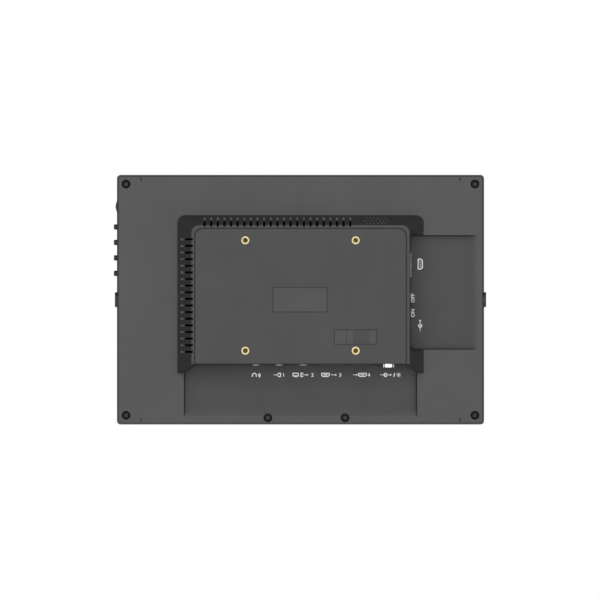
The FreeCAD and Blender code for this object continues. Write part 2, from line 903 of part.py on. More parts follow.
KEY_BOARD_X = INNER_X - d.key_board_gap
key_posts = draw_circles(
    new_sketch(cover, "key_post_edges", "YZ_Plane", KEY_BOARD_X),
    [(-CONTROL, z, d.key_post) for z in KEY_POST_Z],
)
grow(cover, key_posts, "key_posts", d.key_board_gap + d.wall / 2)

# Holes for screws, inserts and sockets
sunk = PLATE + d.head_sink
head_holes = rear_circles(
    cover, "head_hole_edges", PLATE - d.cut_over,
    [(x, z, d.screw_head + 2 * d.head_play) for x, z in SCREW_SPOTS],
)
sink(cover, head_holes, "head_holes", d.head_sink + d.cut_over)
thread_holes = rear_circles(
    cover, "thread_hole_edges", PLATE,
    [(x, z, d.screw_thread + 2 * d.screw_play) for x, z in SCREW_SPOTS],
)
sink(cover, thread_holes, "thread_holes", TRAY - PLATE)
post_room = rear_circles(
    cover, "post_room_edges", PARTING,
    [(x, z, d.post_outer + 2 * d.post_play) for x, z in SCREW_SPOTS],
)
sink(cover, post_room, "post_room", PARTING - TRAY, forward=False)
insert_holes = rear_circles(
    cover, "insert_hole_edges", -d.cut_over,
    [(x, z, d.insert_outer + 2 * d.insert_play) for x, z in INSERT_SPOTS],
)
sink(cover, insert_holes, "insert_holes", d.insert_length + d.cut_over)
pilot = rear_circles(
    cover, "pilot_hole_edges", BOARD, [(x, z, SMALL_HOLE) for x, z in BOARD_SPOTS],
)
sink(cover, pilot, "pilot_holes", d.small_length, forward=False)
dial_pilot = rear_circles(
    cover, "dial_pilot_edges", FRAME_EAR, [(x, z, SMALL_HOLE) for x, z in DIAL_SPOTS],
)
sink(cover, dial_pilot, "dial_pilot_holes", d.small_length, forward=False)
key_pilot = draw_circles(
    new_sketch(cover, "key_pilot_edges", "YZ_Plane", KEY_BOARD_X),
    [(-CONTROL, z, SMALL_HOLE) for z in KEY_POST_Z],
)
sink(cover, key_pilot, "key_pilot_holes", d.small_length)
for side, name in ((1, "left"), (-1, "right")):
    seat = draw_circles(
        new_sketch(cover, f"socket_seat_{name}", "YZ_Plane", side * (HALF + d.cut_over)),
        [(-CONTROL, MID, d.socket_flange + 2 * d.socket_play)],
    )
    sink(cover, seat, f"socket_seat_cut_{name}", HALF + d.cut_over - SOCKET_SEAT, forward=side < 0)
    bore = draw_circles(
        new_sketch(cover, f"socket_hole_{name}", "YZ_Plane", side * HALF),
        [(-CONTROL, MID, d.socket_shank + 2 * d.socket_play)],
    )
    sink(cover, bore, f"socket_hole_cut_{name}", HALF - SOCKET_END, forward=side < 0)

# Openings for keys and dial in the side wall
button_holes = draw_circles(
    new_sketch(cover, "button_hole_edges", "YZ_Plane", INNER_X),
    [(-CONTROL, z, d.button_outer + 2 * d.button_play) for z in BUTTON_Z],
)
sink(cover, button_holes, "button_holes", HALF - INNER_X)
dial_slot = rear_circles(
    cover, "dial_slot_edge", CONTROL - d.dial_thick / 2 - d.dial_gap,
    [(DIAL_X, DIAL_Z, d.dial_outer + 2 * d.dial_gap)],
)
sink(cover, dial_slot, "dial_slot", d.dial_thick + 2 * d.dial_gap)

# Openings for connectors in the two bay walls
wall_low = -d.bay_wall - d.cut_over
wall_thick = BAY_INSIDE - wall_low
NUT_HOLE = d.tally_outer + 2 * d.port_play
port_circles = [
    (x, -JACK_DEPTH, d.jack_nose + 2 * d.port_play) for x in JACKS.values()
] + [(-d.tally_shift, -JACK_DEPTH, NUT_HOLE)]
ports = draw_circles(new_sketch(cover, "port_circles", "XY_Plane", wall_low), port_circles)
sink(cover, ports, "port_holes", wall_thick)
nut_seat = draw_circles(
    new_sketch(cover, "nut_seat_edge", "XY_Plane", wall_low),
    [(-d.tally_shift, -JACK_DEPTH, d.nut_outer + 2 * d.port_play)],
)
sink(cover, nut_seat, "nut_seat", TALLY_SEAT - wall_low)
digital_edge = d.digital_width + 2 * d.port_play
digital_rise = d.digital_height + 2 * d.port_play
digital_ports = draw(
    new_sketch(cover, "digital_port_edges", "XY_Plane", wall_low),
    [rectangle(about(x, digital_edge), about(-DIGITAL_DEPTH, digital_rise)) for x in DIGITALS.values()],
)
sink(cover, digital_ports, "digital_ports", wall_thick)


def dsub_loop(grown):
    """The 15-pin socket's slanted outline, with depth across and height up."""
    long_half = d.dsub_long / 2 + grown
    short_half = long_half - d.dsub_slant
    tall_half = d.dsub_tall / 2 + grown
    return [
        (-d.dsub_depth - tall_half, d.dsub_up - short_half),
        (tall_half - d.dsub_depth, d.dsub_up - long_half),
        (tall_half - d.dsub_depth, d.dsub_up + long_half),
        (-d.dsub_depth - tall_half, d.dsub_up + short_half),
    ]


side_low = -d.hump_half - d.recess_lean - d.cut_over
side_thick = SIDE_INSIDE - side_low
dsub_port = draw(new_sketch(cover, "dsub_port_edge", "YZ_Plane", side_low), [dsub_loop(d.port_play)])
sink(cover, dsub_port, "dsub_port", side_thick)
dc_port = draw_circles(
    new_sketch(cover, "dc_port_edge", "YZ_Plane", side_low),
    [(-DC_DEPTH, -d.dc_down, d.dc_nose + 2 * d.port_play)],
)
sink(cover, dc_port, "dc_port", side_thick)
SLOT_LONG = d.switch_knob_long + d.switch_travel + 2 * d.switch_play
switch_port = draw(
    new_sketch(cover, "switch_port_edge", "YZ_Plane", side_low),
    [rectangle(
        about(-d.switch_depth, d.switch_knob_tall + 2 * d.switch_play),
        about(-d.switch_down, SLOT_LONG),
    )],
)
sink(cover, switch_port, "switch_port", side_thick)

# Groove round the hump's face, open at the lower end
groove_x = d.hump_half - d.groove_inset
groove_z = d.hump_top - d.groove_inset


lower = -d.bay_wall
groove = new_sketch(cover, "groove_edge", "XZ_Plane", ZERO)
side_cut = d.groove_width / 2
groove_out = rear_loops(
    cover, "groove_feet", ZERO,
    [
        rectangle((groove_x - side_cut, groove_x + side_cut), (lower, groove_z - d.groove_corner)),
        rectangle((-groove_x - side_cut, side_cut - groove_x), (lower, groove_z - d.groove_corner)),
    ],
)
sink(cover, groove_out, "groove_sides", d.groove_depth)


def draw_arch_band(sketch):
    """The crossbar and the two bends of the groove as one closed band."""
    foot = groove_z - d.groove_corner
    turn_x = groove_x - d.groove_corner
    big = d.groove_corner + side_cut
    small = d.groove_corner - side_cut
    out_top, in_top = groove_z + side_cut, groove_z - side_cut
    out_x, in_x = groove_x + side_cut, groove_x - side_cut
    points = [
        (out_x, foot), (turn_x, out_top), (-turn_x, out_top), (-out_x, foot),
        (-in_x, foot), (-turn_x, in_top), (turn_x, in_top), (in_x, foot),
    ]
    at = [VEC(x.value, z.value, 0) for x, z in points]
    pieces = (("arc", 1, 0, big), ("line",), ("arc", -1, 1, big), ("line",),
              ("arc", -1, 1, small), ("line",), ("arc", 1, 0, small), ("line",))
    ends = []
    for n, piece in enumerate(pieces):
        if piece[0] == "line":
            line = sketch.addGeometry(Part.LineSegment(at[n], at[(n + 1) % 8]), False)
            ends.append((line, 1, 2))
            continue
        side, quarter, radius = piece[1:]
        circle = Part.Circle(VEC(side * turn_x.value, foot.value, 0), VEC(0, 0, 1), radius.value)
        arc = Part.ArcOfCircle(circle, quarter * math.pi / 2, (quarter + 1) * math.pi / 2)
        line = sketch.addGeometry(arc, False)
        ends.append((line, 1, 2) if n < 4 else (line, 2, 1))
        index = sketch.addConstraint(Sketcher.Constraint("Radius", line, radius.value))
        bind(sketch, f"Constraints[{index}]", radius)
    for n, (line, start, end) in enumerate(ends):
        after = ends[(n + 1) % 8]
        sketch.addConstraint(Sketcher.Constraint("Coincident", line, end, after[0], after[1]))
        if pieces[n][0] == "line":
            pin_point(sketch, line, start, points[n])
            pin_point(sketch, line, end, points[(n + 1) % 8])


draw_arch_band(groove)
sink(cover, groove, "groove_arch", d.groove_depth)

# Label beds and small notches along the long edges
beds = rear_loops(
    cover, "label_bed_edges", ZERO,
    [
        rectangle(
            about(RATING_SPOT[0], d.rating_width + 2 * d.label_play),
            about(RATING_SPOT[1], d.rating_height + 2 * d.label_play),
        ),
        rectangle(
            about(SERIAL_SPOT[0], d.serial_width + 2 * d.label_play),
            about(SERIAL_SPOT[1], d.serial_height + 2 * d.label_play),
        ),
    ],
)
sink(cover, beds, "label_beds", d.label_sink)
notch_x = HALF - d.notch_offset
notch_in = d.notch_margin + d.notch_length
notches = rear_loops(
    cover, "notch_edges", PLATE,
    [
        rectangle(about(side * notch_x, d.notch_width), span)
        for side in (1, -1)
        for span in (
            (TOP - notch_in, TOP - d.notch_margin),
            (BOTTOM + d.notch_margin, BOTTOM + notch_in),
        )
    ],
)
sink(cover, notches, "notches", d.notch_depth)

# Vents in the bevels
vent_low = rear_loops(
    cover, "top_vent_edge", -d.cut_over,
    [rectangle(about(d.vent_top_start, d.vent_width), (d.hump_top - d.vent_bite, flare_top))],
)
vent = sink(cover, vent_low, "top_vent", d.vent_floor + d.cut_over)
line_up(cover, vent, "top_vents", (vent_low, ["H_Axis"]), d.vent_top_count, d.vent_pitch)
side_vent_edge = rear_loops(
    cover, "side_vent_edge", -d.cut_over,
    [rectangle((d.hump_half - d.vent_bite, flare_half), about(d.vent_side_start, d.vent_width))],
)
vent = sink(cover, side_vent_edge, "side_vent", d.vent_floor + d.cut_over)
line_up(cover, vent, "side_vents", (side_vent_edge, ["V_Axis"]), d.vent_side_count, d.vent_pitch)

# Speaker holes in three staggered rows
grille = []
for rank in (-1, 0, 1):
    in_row = int(d.grille_count.value) + (1 if rank == 0 else 0)
    for n in range(in_row):
        across = (n - (in_row - 1) / 2) * d.grille_pitch - d.grille_centre
        grille.append((across, d.hump_top + d.grille_rise + rank * d.grille_row, d.grille_hole))
holes = rear_circles(cover, "grille_edges", -d.cut_over, grille)
sink(cover, holes, "grille_holes", PLATE_IN + d.cut_over - d.bevel_inset)
node("rear_cover", cover)

# Front bezel with its screw posts
bezel = new_body("front_bezel")
rim = rear_loops(bezel, "rim_edge", PARTING, [rectangle((-HALF, HALF), (BOTTOM, TOP))])
grow(bezel, rim, "rim", d.bezel_depth)
ease(
    bezel, "Fillet", "rim_corners", d.body_corner,
    lambda edge: abs(edge.BoundBox.YLength - d.bezel_depth.value) < 1e-6,
)
ease(
    bezel, "Fillet", "front_round", d.edge_round,
    lambda edge: edge.BoundBox.YLength < 1e-6 and abs(edge.BoundBox.YMin + FRONT.value) < 1e-6,
)
room = rear_loops(
    bezel, "room_edge", PARTING,
    [rectangle((d.wall - HALF, HALF - d.wall), (BOTTOM + d.wall, TOP - d.wall))],
)
sink(bezel, room, "room", d.bezel_depth - d.lip)
WINDOW_X = HALF - d.border_side
WINDOW_Z = (BOTTOM + d.border_top, TOP - d.border_top)
window = rear_loops(bezel, "window_edge", PARTING, [rectangle((-WINDOW_X, WINDOW_X), WINDOW_Z)])
sink(bezel, window, "window", d.bezel_depth)
ease(
    bezel, "Chamfer", "window_chamfer", d.lip_chamfer,
    lambda edge: (
        edge.BoundBox.YLength < 1e-6
        and abs(edge.BoundBox.YMin + FRONT.value) < 1e-6
        and abs(edge.BoundBox.Center.x) < WINDOW_X.value + 1e-6
        and edge.BoundBox.ZMin > WINDOW_Z[0].value - 1e-6
        and edge.BoundBox.ZMax < WINDOW_Z[1].value + 1e-6
    ),
)
posts = rear_circles(
    bezel, "post_edges", LIP + d.lip / 4, [(x, z, d.post_outer) for x, z in SCREW_SPOTS],
)
grow(bezel, posts, "posts", LIP + d.lip / 4 - TRAY, forward=False)
post_holes = rear_circles(
    bezel, "post_hole_edges", TRAY,
    [(x, z, d.screw_thread + 2 * d.screw_play) for x, z in SCREW_SPOTS],
)
sink(bezel, post_holes, "post_holes", PLATE + d.head_sink + d.screw_length + d.wall / 4 - TRAY)
GLASS = LIP - d.gasket_thick
CELL = GLASS - d.glass_thick
GUIDE = CELL - d.cell_thick
CHASSIS = GUIDE - d.guide_thick
CHASSIS_BACK = CHASSIS - d.chassis_thick
PANEL_X = HALF - d.panel_margin_side
PANEL_Z = (BOTTOM + d.panel_margin_top, TOP - d.panel_margin_top)
bracket_rise = (PANEL_Z[0] - d.bracket_reach, PANEL_Z[1] + d.bracket_reach)
BRACKET_SPOTS = [(side * d.bracket_shift, z) for side in (1, -1) for z in bracket_rise]
bracket_posts = rear_circles(
    bezel, "bracket_post_edges", LIP + d.lip / 4, [(x, z, d.bracket_post) for x, z in BRACKET_SPOTS],
)
grow(bezel, bracket_posts, "bracket_posts", LIP + d.lip / 4 - CHASSIS_BACK, forward=False)
bracket_holes = rear_circles(
    bezel, "bracket_hole_edges", CHASSIS_BACK, [(x, z, SMALL_HOLE) for x, z in BRACKET_SPOTS],
)
sink(bezel, bracket_holes, "bracket_holes", d.small_length)
node("front_bezel", bezel)

# Casing screws, one turned master with a cross recess
screw = new_body("cover_screw")
screw_profile = draw(
    new_sketch(screw, "screw_profile", "XZ_Plane", ZERO),
    [[
        (ZERO, -d.screw_head_height), (d.screw_head / 2, -d.screw_head_height),
        (d.screw_head / 2, ZERO), (d.screw_thread / 2, ZERO),
        (d.screw_thread / 2, d.screw_length), (ZERO, d.screw_length),
    ]],
)
turn(screw, screw_profile, "screw_turned", "V_Axis")
for name, wide, high in (
    ("cross_across", d.screw_cross, d.screw_cross_width),
    ("cross_up", d.screw_cross_width, d.screw_cross),
):
    bar = draw(
        new_sketch(screw, f"{name}_edge", "XY_Plane", -d.screw_head_height),
        [rectangle(about(ZERO, wide), about(ZERO, high))],
    )
    sink(screw, bar, name, d.screw_cross_depth)
copies("cover_screws", screw, [((x, -sunk, z), ALONG_MINUS_Y) for x, z in SCREW_SPOTS])

# Mounting inserts with their threaded bores
insert = new_body("mount_insert")
insert_profile = draw(
    new_sketch(insert, "insert_profile", "XZ_Plane", ZERO),
    [rectangle((d.insert_bore / 2, d.insert_outer / 2), (ZERO, d.insert_length))],
)
turn(insert, insert_profile, "insert_turned", "V_Axis")
copies("mount_inserts", insert, [((x, ZERO, z), ALONG_MINUS_Y) for x, z in INSERT_SPOTS])

# Threaded side sockets for a yoke
for side, name in ((1, "left"), (-1, "right")):
    tip = HALF + d.socket_proud
    spans = [(SOCKET_SEAT, tip), (SOCKET_END, SOCKET_SEAT), (SOCKET_END, tip)]
    if side < 0:
        spans = [(-high, -low) for low, high in spans]
    axis_at = (CONTROL, MID)
    flange = rod(f"yoke_flange_{name}", d.socket_flange, "X", spans[0], axis_at)
    shank = rod(f"yoke_shank_{name}", d.socket_shank, "X", spans[1], axis_at)
    bore = rod(f"yoke_bore_{name}", d.socket_bore, "X", spans[2], axis_at)
    solid = join(f"yoke_solid_{name}", [flange, shank])
    node(f"yoke_socket_{name}", cut(f"yoke_{name}", solid, [bore]))

# Blank labels in their beds
for name, spot, wide, high in (
    ("rating_label", RATING_SPOT, d.rating_width, d.rating_height),
    ("serial_label", SERIAL_SPOT, d.serial_width, d.serial_height),
):
    label_depth = (d.label_sink - d.label_thick, d.label_sink)
    node(name, block(name, about(spot[0], wide), label_depth, about(spot[1], high)))

# Display, from the gasket behind the lip to its steel chassis
panel_x = (-PANEL_X, PANEL_X)
gasket_x = (d.gasket_width - PANEL_X, PANEL_X - d.gasket_width)
gasket_z = (PANEL_Z[0] + d.gasket_width, PANEL_Z[1] - d.gasket_width)
gasket_solid = block("gasket_solid", panel_x, (GLASS, LIP), PANEL_Z)
gasket_window = block("gasket_window", gasket_x, (GLASS, LIP), gasket_z)
node("screen_gasket", cut("gasket_frame", gasket_solid, [gasket_window]))
node("screen_glass", block("screen_glass", panel_x, (CELL, GLASS), PANEL_Z))
tray_gap = d.chassis_thick + d.panel_play
cell_x = (tray_gap - PANEL_X, PANEL_X - tray_gap)
cell_z = (PANEL_Z[0] + tray_gap, PANEL_Z[1] - tray_gap)
node("lcd_cell", block("lcd_cell", cell_x, (GUIDE, CELL), cell_z))
guide_z = (cell_z[0] + d.led_height, cell_z[1])
node("light_guide", block("light_guide", cell_x, (CHASSIS, GUIDE), guide_z))
led_z = (cell_z[0], cell_z[0] + d.led_height - d.panel_play)
node("led_strip", block("led_strip", cell_x, (CHASSIS, CHASSIS + d.led_thick), led_z))
tray_x = (d.chassis_thick - PANEL_X, PANEL_X - d.chassis_thick)
tray_z = (PANEL_Z[0] + d.chassis_thick, PANEL_Z[1] - d.chassis_thick)
chassis_solid = block("chassis_solid", panel_x, (CHASSIS_BACK, CELL), PANEL_Z)
chassis_room = block("chassis_room", tray_x, (CHASSIS, CELL), tray_z)
node("panel_chassis", cut("chassis_tray", chassis_solid, [chassis_room]))

# Brackets that clamp the display to the bezel
BRACKET = CHASSIS_BACK - d.bracket_thick
plates = []
holes = []
for n, (x, z) in enumerate(BRACKET_SPOTS):
    upward = n % 2 == 1
    span = (z - d.bracket_lap, z + d.bracket_edge) if upward else (z - d.bracket_edge, z + d.bracket_lap)
    plates.append(block(f"bracket_plate_{n}", about(x, d.bracket_width), (BRACKET, CHASSIS_BACK), span))
    holes.append(rod(f"bracket_hole_{n}", SMALL_HOLE, "Y", (BRACKET, CHASSIS_BACK), (x, z)))
bracket_set = doc.addObject("Part::Compound", "bracket_plates")
bracket_set.Links = plates
node("panel_brackets", cut("brackets", bracket_set, holes))

# Main board with its processor, heat sink and capacitors
board_x = (SIDE_INSIDE + d.board_gap, d.board_side)
board_z = (BAY_INSIDE + d.board_gap, d.board_top)
board_solid = block("board_solid", board_x, (BOARD, BOARD_FRONT), board_z)
board_holes = [
    rod(f"board_hole_{n}", SMALL_HOLE, "Y", (BOARD, BOARD_FRONT), (x, z))
    for n, (x, z) in enumerate(BOARD_SPOTS)
]
node("main_board", cut("board", board_solid, board_holes))
CHIP = BOARD - d.chip_thick
node(
    "video_processor",
    block("video_processor", about(ZERO, d.chip_side), (CHIP, BOARD), about(ZERO, d.chip_side)),
)
SINK_BASE = CHIP - d.sink_base
sink_x = about(ZERO, d.sink_side)
sink_pieces = [block("sink_base_plate", sink_x, (SINK_BASE, CHIP), sink_x)]
fin_count = int(d.sink_fin_count.value)
fin_gap = (d.sink_side - d.sink_fin_thick) / (fin_count - 1)
for n in range(fin_count):
    fin_z = (n * fin_gap - d.sink_side / 2, n * fin_gap - d.sink_side / 2 + d.sink_fin_thick)
    sink_pieces.append(block(f"sink_fin_{n}", sink_x, (SINK_BASE - d.sink_fin, SINK_BASE), fin_z))
node("heat_sink", join("sink", sink_pieces))
cans = []
for n in range(int(d.capacitor_count.value)):
    spot = (d.capacitor_side, d.capacitor_up - n * d.capacitor_pitch)
    cans.append(
        rod(f"capacitor_{n}", d.capacitor_outer, "Y", (BOARD - d.capacitor_height, BOARD), spot)
    )
can_set = doc.addObject("Part::Compound", "capacitor_set")
can_set.Links = cans
node("capacitors", can_set)

# Round jacks of the lower bay
port_line = BAY_INSIDE + d.port_play
for name, x in JACKS.items():
    shell = block(
        f"{name}_block", about(x, d.jack_width), (BOARD - d.jack_height, BOARD),
        (port_line, port_line + d.jack_length),
    )
    nose_tip = bay_face(JACK_DEPTH) - d.jack_proud
    nose = rod(f"{name}_nose", d.jack_nose, "Z", (nose_tip, port_line), (x, JACK_DEPTH))
    bore_end = nose_tip + d.jack_bore_depth
    bore = rod(f"{name}_bore", d.jack_bore, "Z", (nose_tip, bore_end), (x, JACK_DEPTH))
    node(name, cut(f"{name}_cut", join(f"{name}_solid", [shell, nose]), [bore]))

# Flat digital sockets, each a sheet shell round a contact tongue
mouth = bay_face(DIGITAL_DEPTH - d.digital_height / 2) + d.port_play
tongues = []
for name, x in DIGITALS.items():
    deep = (BOARD - d.digital_height, BOARD)
    shell = block(f"{name}_shell", about(x, d.digital_width), deep, (mouth, mouth + d.digital_length))
    room = block(
        f"{name}_room", about(x, d.digital_width - 2 * d.digital_shell),
        (deep[0] + d.digital_shell, deep[1] - d.digital_shell),
        (mouth, mouth + d.digital_length - d.digital_back),
    )
    node(name, cut(f"{name}_cut", shell, [room]))
    tongue_z = (mouth + d.tongue_sink, mouth + d.digital_length - d.digital_back)
    tongues.append(
        block(f"{name}_tongue", about(x, d.tongue_width), about(DIGITAL_DEPTH, d.tongue_thick), tongue_z)
    )
tongue_set = doc.addObject("Part::Compound", "tongue_set")
tongue_set.Links = tongues
node("digital_tongues", tongue_set)

# Round socket with its fluted ring nut
tally_x = -d.tally_shift
tally_tip = TALLY_SEAT - d.tally_proud
tally_barrel = rod(
    "tally_barrel", d.tally_outer, "Z", (tally_tip, port_line), (tally_x, JACK_DEPTH),
)
tally_block = block(
    "tally_block", about(tally_x, d.tally_base), (BOARD - d.jack_height, BOARD),
    (port_line, port_line + d.tally_length),
)
tally_bore = rod(
    "tally_bore", d.tally_bore, "Z", (tally_tip, tally_tip + d.tally_bore_depth), (tally_x, JACK_DEPTH),
)
tally_pins = []
for n in range(int(d.tally_pin_count.value)):
    angle = math.pi / 4 + n * 2 * math.pi / d.tally_pin_count.value
    spot = (
        tally_x + d.tally_pin_circle / 2 * math.cos(angle),
        JACK_DEPTH + d.tally_pin_circle / 2 * math.sin(angle),
    )
    span = (tally_tip + d.tongue_sink, tally_tip + d.tally_bore_depth + d.tally_pin)
    tally_pins.append(rod(f"tally_pin_{n}", d.tally_pin, "Z", span, spot))
tally_hollow = cut("tally_hollow", join("tally_solid", [tally_barrel, tally_block]), [tally_bore])
node("tally_socket", join("tally_with_pins", [tally_hollow] + tally_pins))
nut = new_body("tally_ring_nut")
nut_ring = draw_circles(
    new_sketch(nut, "nut_ring_edge", "XY_Plane", ZERO),
    [(ZERO, ZERO, d.nut_outer), (ZERO, ZERO, d.tally_outer + 2 * d.nut_play)],
)
grow(nut, nut_ring, "nut_ring", d.nut_thick)
flute_edge = draw_circles(
    new_sketch(nut, "flute_edge", "XY_Plane", ZERO),
    [(d.nut_outer / 2 + d.nut_flute / 4, ZERO, d.nut_flute)],
)
flute = sink(nut, flute_edge, "flute", d.nut_thick)
ring(nut, flute, "flutes", (flute_edge, ["N_Axis"]), d.nut_flutes, -1)
move(nut, tally_x, -JACK_DEPTH, TALLY_SEAT - d.nut_thick)
node("tally_ring_nut", nut)

# 15-pin socket of the side bay
dsub_tip = side_face(d.dsub_depth) - d.dsub_proud
flange_out = SIDE_INSIDE + d.port_play
dsub = new_body("dsub_shell")
flange_edge = draw(
    new_sketch(dsub, "flange_edge", "YZ_Plane", flange_out),
    [rectangle(about(-d.dsub_depth, d.dsub_flange_tall), about(d.dsub_up, d.dsub_flange_long))],
)
grow(dsub, flange_edge, "flange", d.dsub_flange_thick)
shell_edge = draw(new_sketch(dsub, "shell_edge", "YZ_Plane", dsub_tip), [dsub_loop(ZERO)])
grow(dsub, shell_edge, "shell", flange_out + d.dsub_flange_thick - dsub_tip)
room_edge = draw(new_sketch(dsub, "room_edge", "YZ_Plane", dsub_tip), [dsub_loop(-d.dsub_shell)])
sink(dsub, room_edge, "room", flange_out + d.dsub_flange_thick - dsub_tip)
node("dsub_shell", dsub)
core = new_body("dsub_insulator")
core_edge = draw(
    new_sketch(core, "core_edge", "YZ_Plane", dsub_tip + d.dsub_shell),
    [dsub_loop(-d.dsub_shell - d.panel_play)],
)
core_span = flange_out + d.dsub_flange_thick - dsub_tip - d.dsub_shell
grow(core, core_edge, "core", core_span)
rear_edge = draw(
    new_sketch(core, "rear_edge", "YZ_Plane", flange_out + d.dsub_flange_thick),
    [rectangle(
        both(-BOARD, d.dsub_tall / 2 - d.dsub_depth),
        about(d.dsub_up, d.dsub_long),
    )],
)
grow(core, rear_edge, "rear_block", d.dsub_body)
pin_spots = [
    (row * d.dsub_row_pitch - d.dsub_depth, d.dsub_up + (n + row / 4) * d.dsub_pin_pitch, d.dsub_pin)
    for row in (-1, 0, 1)
    for n in (-2, -1, 0, 1, 2)
]
pin_edges = draw_circles(
    new_sketch(core, "pin_edges", "YZ_Plane", dsub_tip + d.dsub_shell), pin_spots,
)
sink(core, pin_edges, "pin_holes", d.dsub_pin_depth)
node("dsub_insulator", core)

# Slide switch of the side bay
switch_line = SIDE_INSIDE + d.switch_play
knob_in = (switch_line, switch_line + d.switch_foot)
switch_case = block(
    "switch_case", (switch_line, switch_line + d.switch_body_deep),
    about(d.switch_depth, d.switch_body_tall), about(-d.switch_down, d.switch_body_long),
)
switch_room = block(
    "switch_room", (switch_line, switch_line + d.switch_foot + d.switch_play),
    about(d.switch_depth, d.switch_knob_tall + 2 * d.switch_play), about(-d.switch_down, SLOT_LONG),
)
node("power_switch_body", cut("switch_body", switch_case, [switch_room]))
knob_rest = d.switch_travel / 2 - d.switch_down
knob_tip = side_face(d.switch_depth) - d.switch_knob_proud
node(
    "power_switch_knob",
    block(
        "power_switch_knob", (knob_tip, knob_in[1]),
        about(d.switch_depth, d.switch_knob_tall), about(knob_rest, d.switch_knob_long),
    ),
)

# Power inlet with its centre pin
dc_line = SIDE_INSIDE + d.port_play
dc_tip = side_face(DC_DEPTH)
dc_block = block(
    "dc_block", (dc_line, dc_line + d.dc_length), (DC_DEPTH - d.dc_block / 2, BOARD),
    about(-d.dc_down, d.dc_block),
)
dc_nose = rod("dc_nose", d.dc_nose, "X", (dc_tip, dc_line), (DC_DEPTH, -d.dc_down))
dc_bore_end = dc_tip + d.dc_bore_depth
dc_bore = rod("dc_bore", d.dc_bore, "X", (dc_tip, dc_bore_end), (DC_DEPTH, -d.dc_down))
node("dc_jack", cut("dc_jack_cut", join("dc_solid", [dc_block, dc_nose]), [dc_bore]))
dc_pin_span = (dc_tip + d.dc_pin_sink, dc_bore_end)
node("dc_jack_pin", rod("dc_jack_pin", d.dc_pin, "X", dc_pin_span, (DC_DEPTH, -d.dc_down)))

# Key board on its posts, with four push switches
key_x = (KEY_BOARD_X - d.key_board_thick, KEY_BOARD_X)
key_z = (BUTTON_Z[-1] - d.key_board_end, BUTTON_Z[0] + d.key_board_end)
key_solid = block("key_solid", key_x, about(CONTROL, d.key_board_deep), key_z)
key_holes = [
    rod(f"key_hole_{n}", SMALL_HOLE, "X", key_x, (CONTROL, z)) for n, z in enumerate(KEY_POST_Z)
]
node("key_board", cut("key_plate", key_solid, key_holes))
SWITCH_TOP = KEY_BOARD_X + d.key_switch_tall
cases = []
bores = []
PLUNGER_IN = SWITCH_TOP - d.plunger_inside
for n, z in enumerate(BUTTON_Z):
    cases.append(
        block(
            f"key_case_{n}", (KEY_BOARD_X, SWITCH_TOP), about(CONTROL, d.key_switch_side),
            about(z, d.key_switch_side),
        )
    )
    bores.append(
        rod(
            f"key_bore_{n}", d.plunger_outer + 2 * d.plunger_play, "X",
            (KEY_BOARD_X + d.plunger_play, SWITCH_TOP), (CONTROL, z),
        )
    )
case_set = doc.addObject("Part::Compound", "key_cases")
case_set.Links = cases
node("key_switches", cut("key_switch_set", case_set, bores))
PLUNGER_TIP = SWITCH_TOP + d.plunger_proud
FLANGE_OUT = INNER_X - d.button_rest
for n, z in enumerate(BUTTON_Z, 1):
    key = new_body(f"button_{n}")
    key_tip = HALF + d.button_proud
    key_profile = draw(
        new_sketch(key, f"button_profile_{n}", "XZ_Plane", ZERO),
        [[
            (PLUNGER_TIP, ZERO), (key_tip, ZERO), (key_tip, d.button_outer / 2),
            (FLANGE_OUT, d.button_outer / 2), (FLANGE_OUT, d.button_flange / 2),
            (FLANGE_OUT - d.button_flange_thick, d.button_flange / 2),
            (FLANGE_OUT - d.button_flange_thick, d.button_stem / 2),
            (PLUNGER_TIP, d.button_stem / 2),
        ]],
    )
    turn(key, key_profile, f"button_turned_{n}", "H_Axis")
    ease(
        key, "Fillet", f"button_round_{n}", d.button_round,
        lambda edge: edge.BoundBox.XMin > HALF.value and edge.BoundBox.XLength < 1e-6,
    )
    move(key, ZERO, -CONTROL, z)
    node(f"button_{n}", key)
    plunger = rod(
        f"switch_plunger_{n}", d.plunger_outer, "X", (PLUNGER_IN, PLUNGER_TIP), (CONTROL, z),
    )
    node(f"switch_plunger_{n}", plunger)

# Thumbwheel on its sliding carrier
wheel = new_body("dial_wheel")
wheel_edge = rear_circles(
    wheel, "wheel_edge", -d.dial_thick / 2,
    [(ZERO, ZERO, d.dial_outer), (ZERO, ZERO, d.dial_pin + 2 * d.dial_bore_play)],
)
grow(wheel, wheel_edge, "wheel", d.dial_thick)
ease(
    wheel, "Chamfer", "wheel_chamfer", d.dial_chamfer,
    lambda edge: edge.BoundBox.YLength < 1e-6 and edge.BoundBox.XLength > d.dial_outer.value - 1e-3,
)
tooth_edge = rear_circles(
    wheel, "tooth_edge", -d.dial_thick / 2, [(d.dial_outer / 2, ZERO, d.dial_tooth)],
)
tooth = sink(wheel, tooth_edge, "tooth_gap", d.dial_thick)
ring(wheel, tooth, "teeth", (tooth_edge, ["N_Axis"]), d.dial_teeth, -1)
move(wheel, DIAL_X, -CONTROL, DIAL_Z)
node("dial_wheel", wheel)
WHEEL_REAR = CONTROL - d.dial_thick / 2
CARRIER = CONTROL + d.dial_thick / 2 + d.dial_step
CARRIER_FRONT = CARRIER + d.carrier_thick
carrier_z = about(DIAL_Z, 2 * d.carrier_half)
carrier_plate = block(
    "carrier_plate", (DIAL_X - d.carrier_back, DIAL_X + d.carrier_front), (CARRIER, CARRIER_FRONT),
    carrier_z,
)
CLIP_REAR = WHEEL_REAR - d.dial_step - d.clip_thick
carrier_pin = rod(
    "carrier_pin", d.dial_pin, "Y", (CLIP_REAR, CARRIER_FRONT), (DIAL_X, DIAL_Z),
)
node("dial_carrier", join("carrier", [carrier_plate, carrier_pin]))
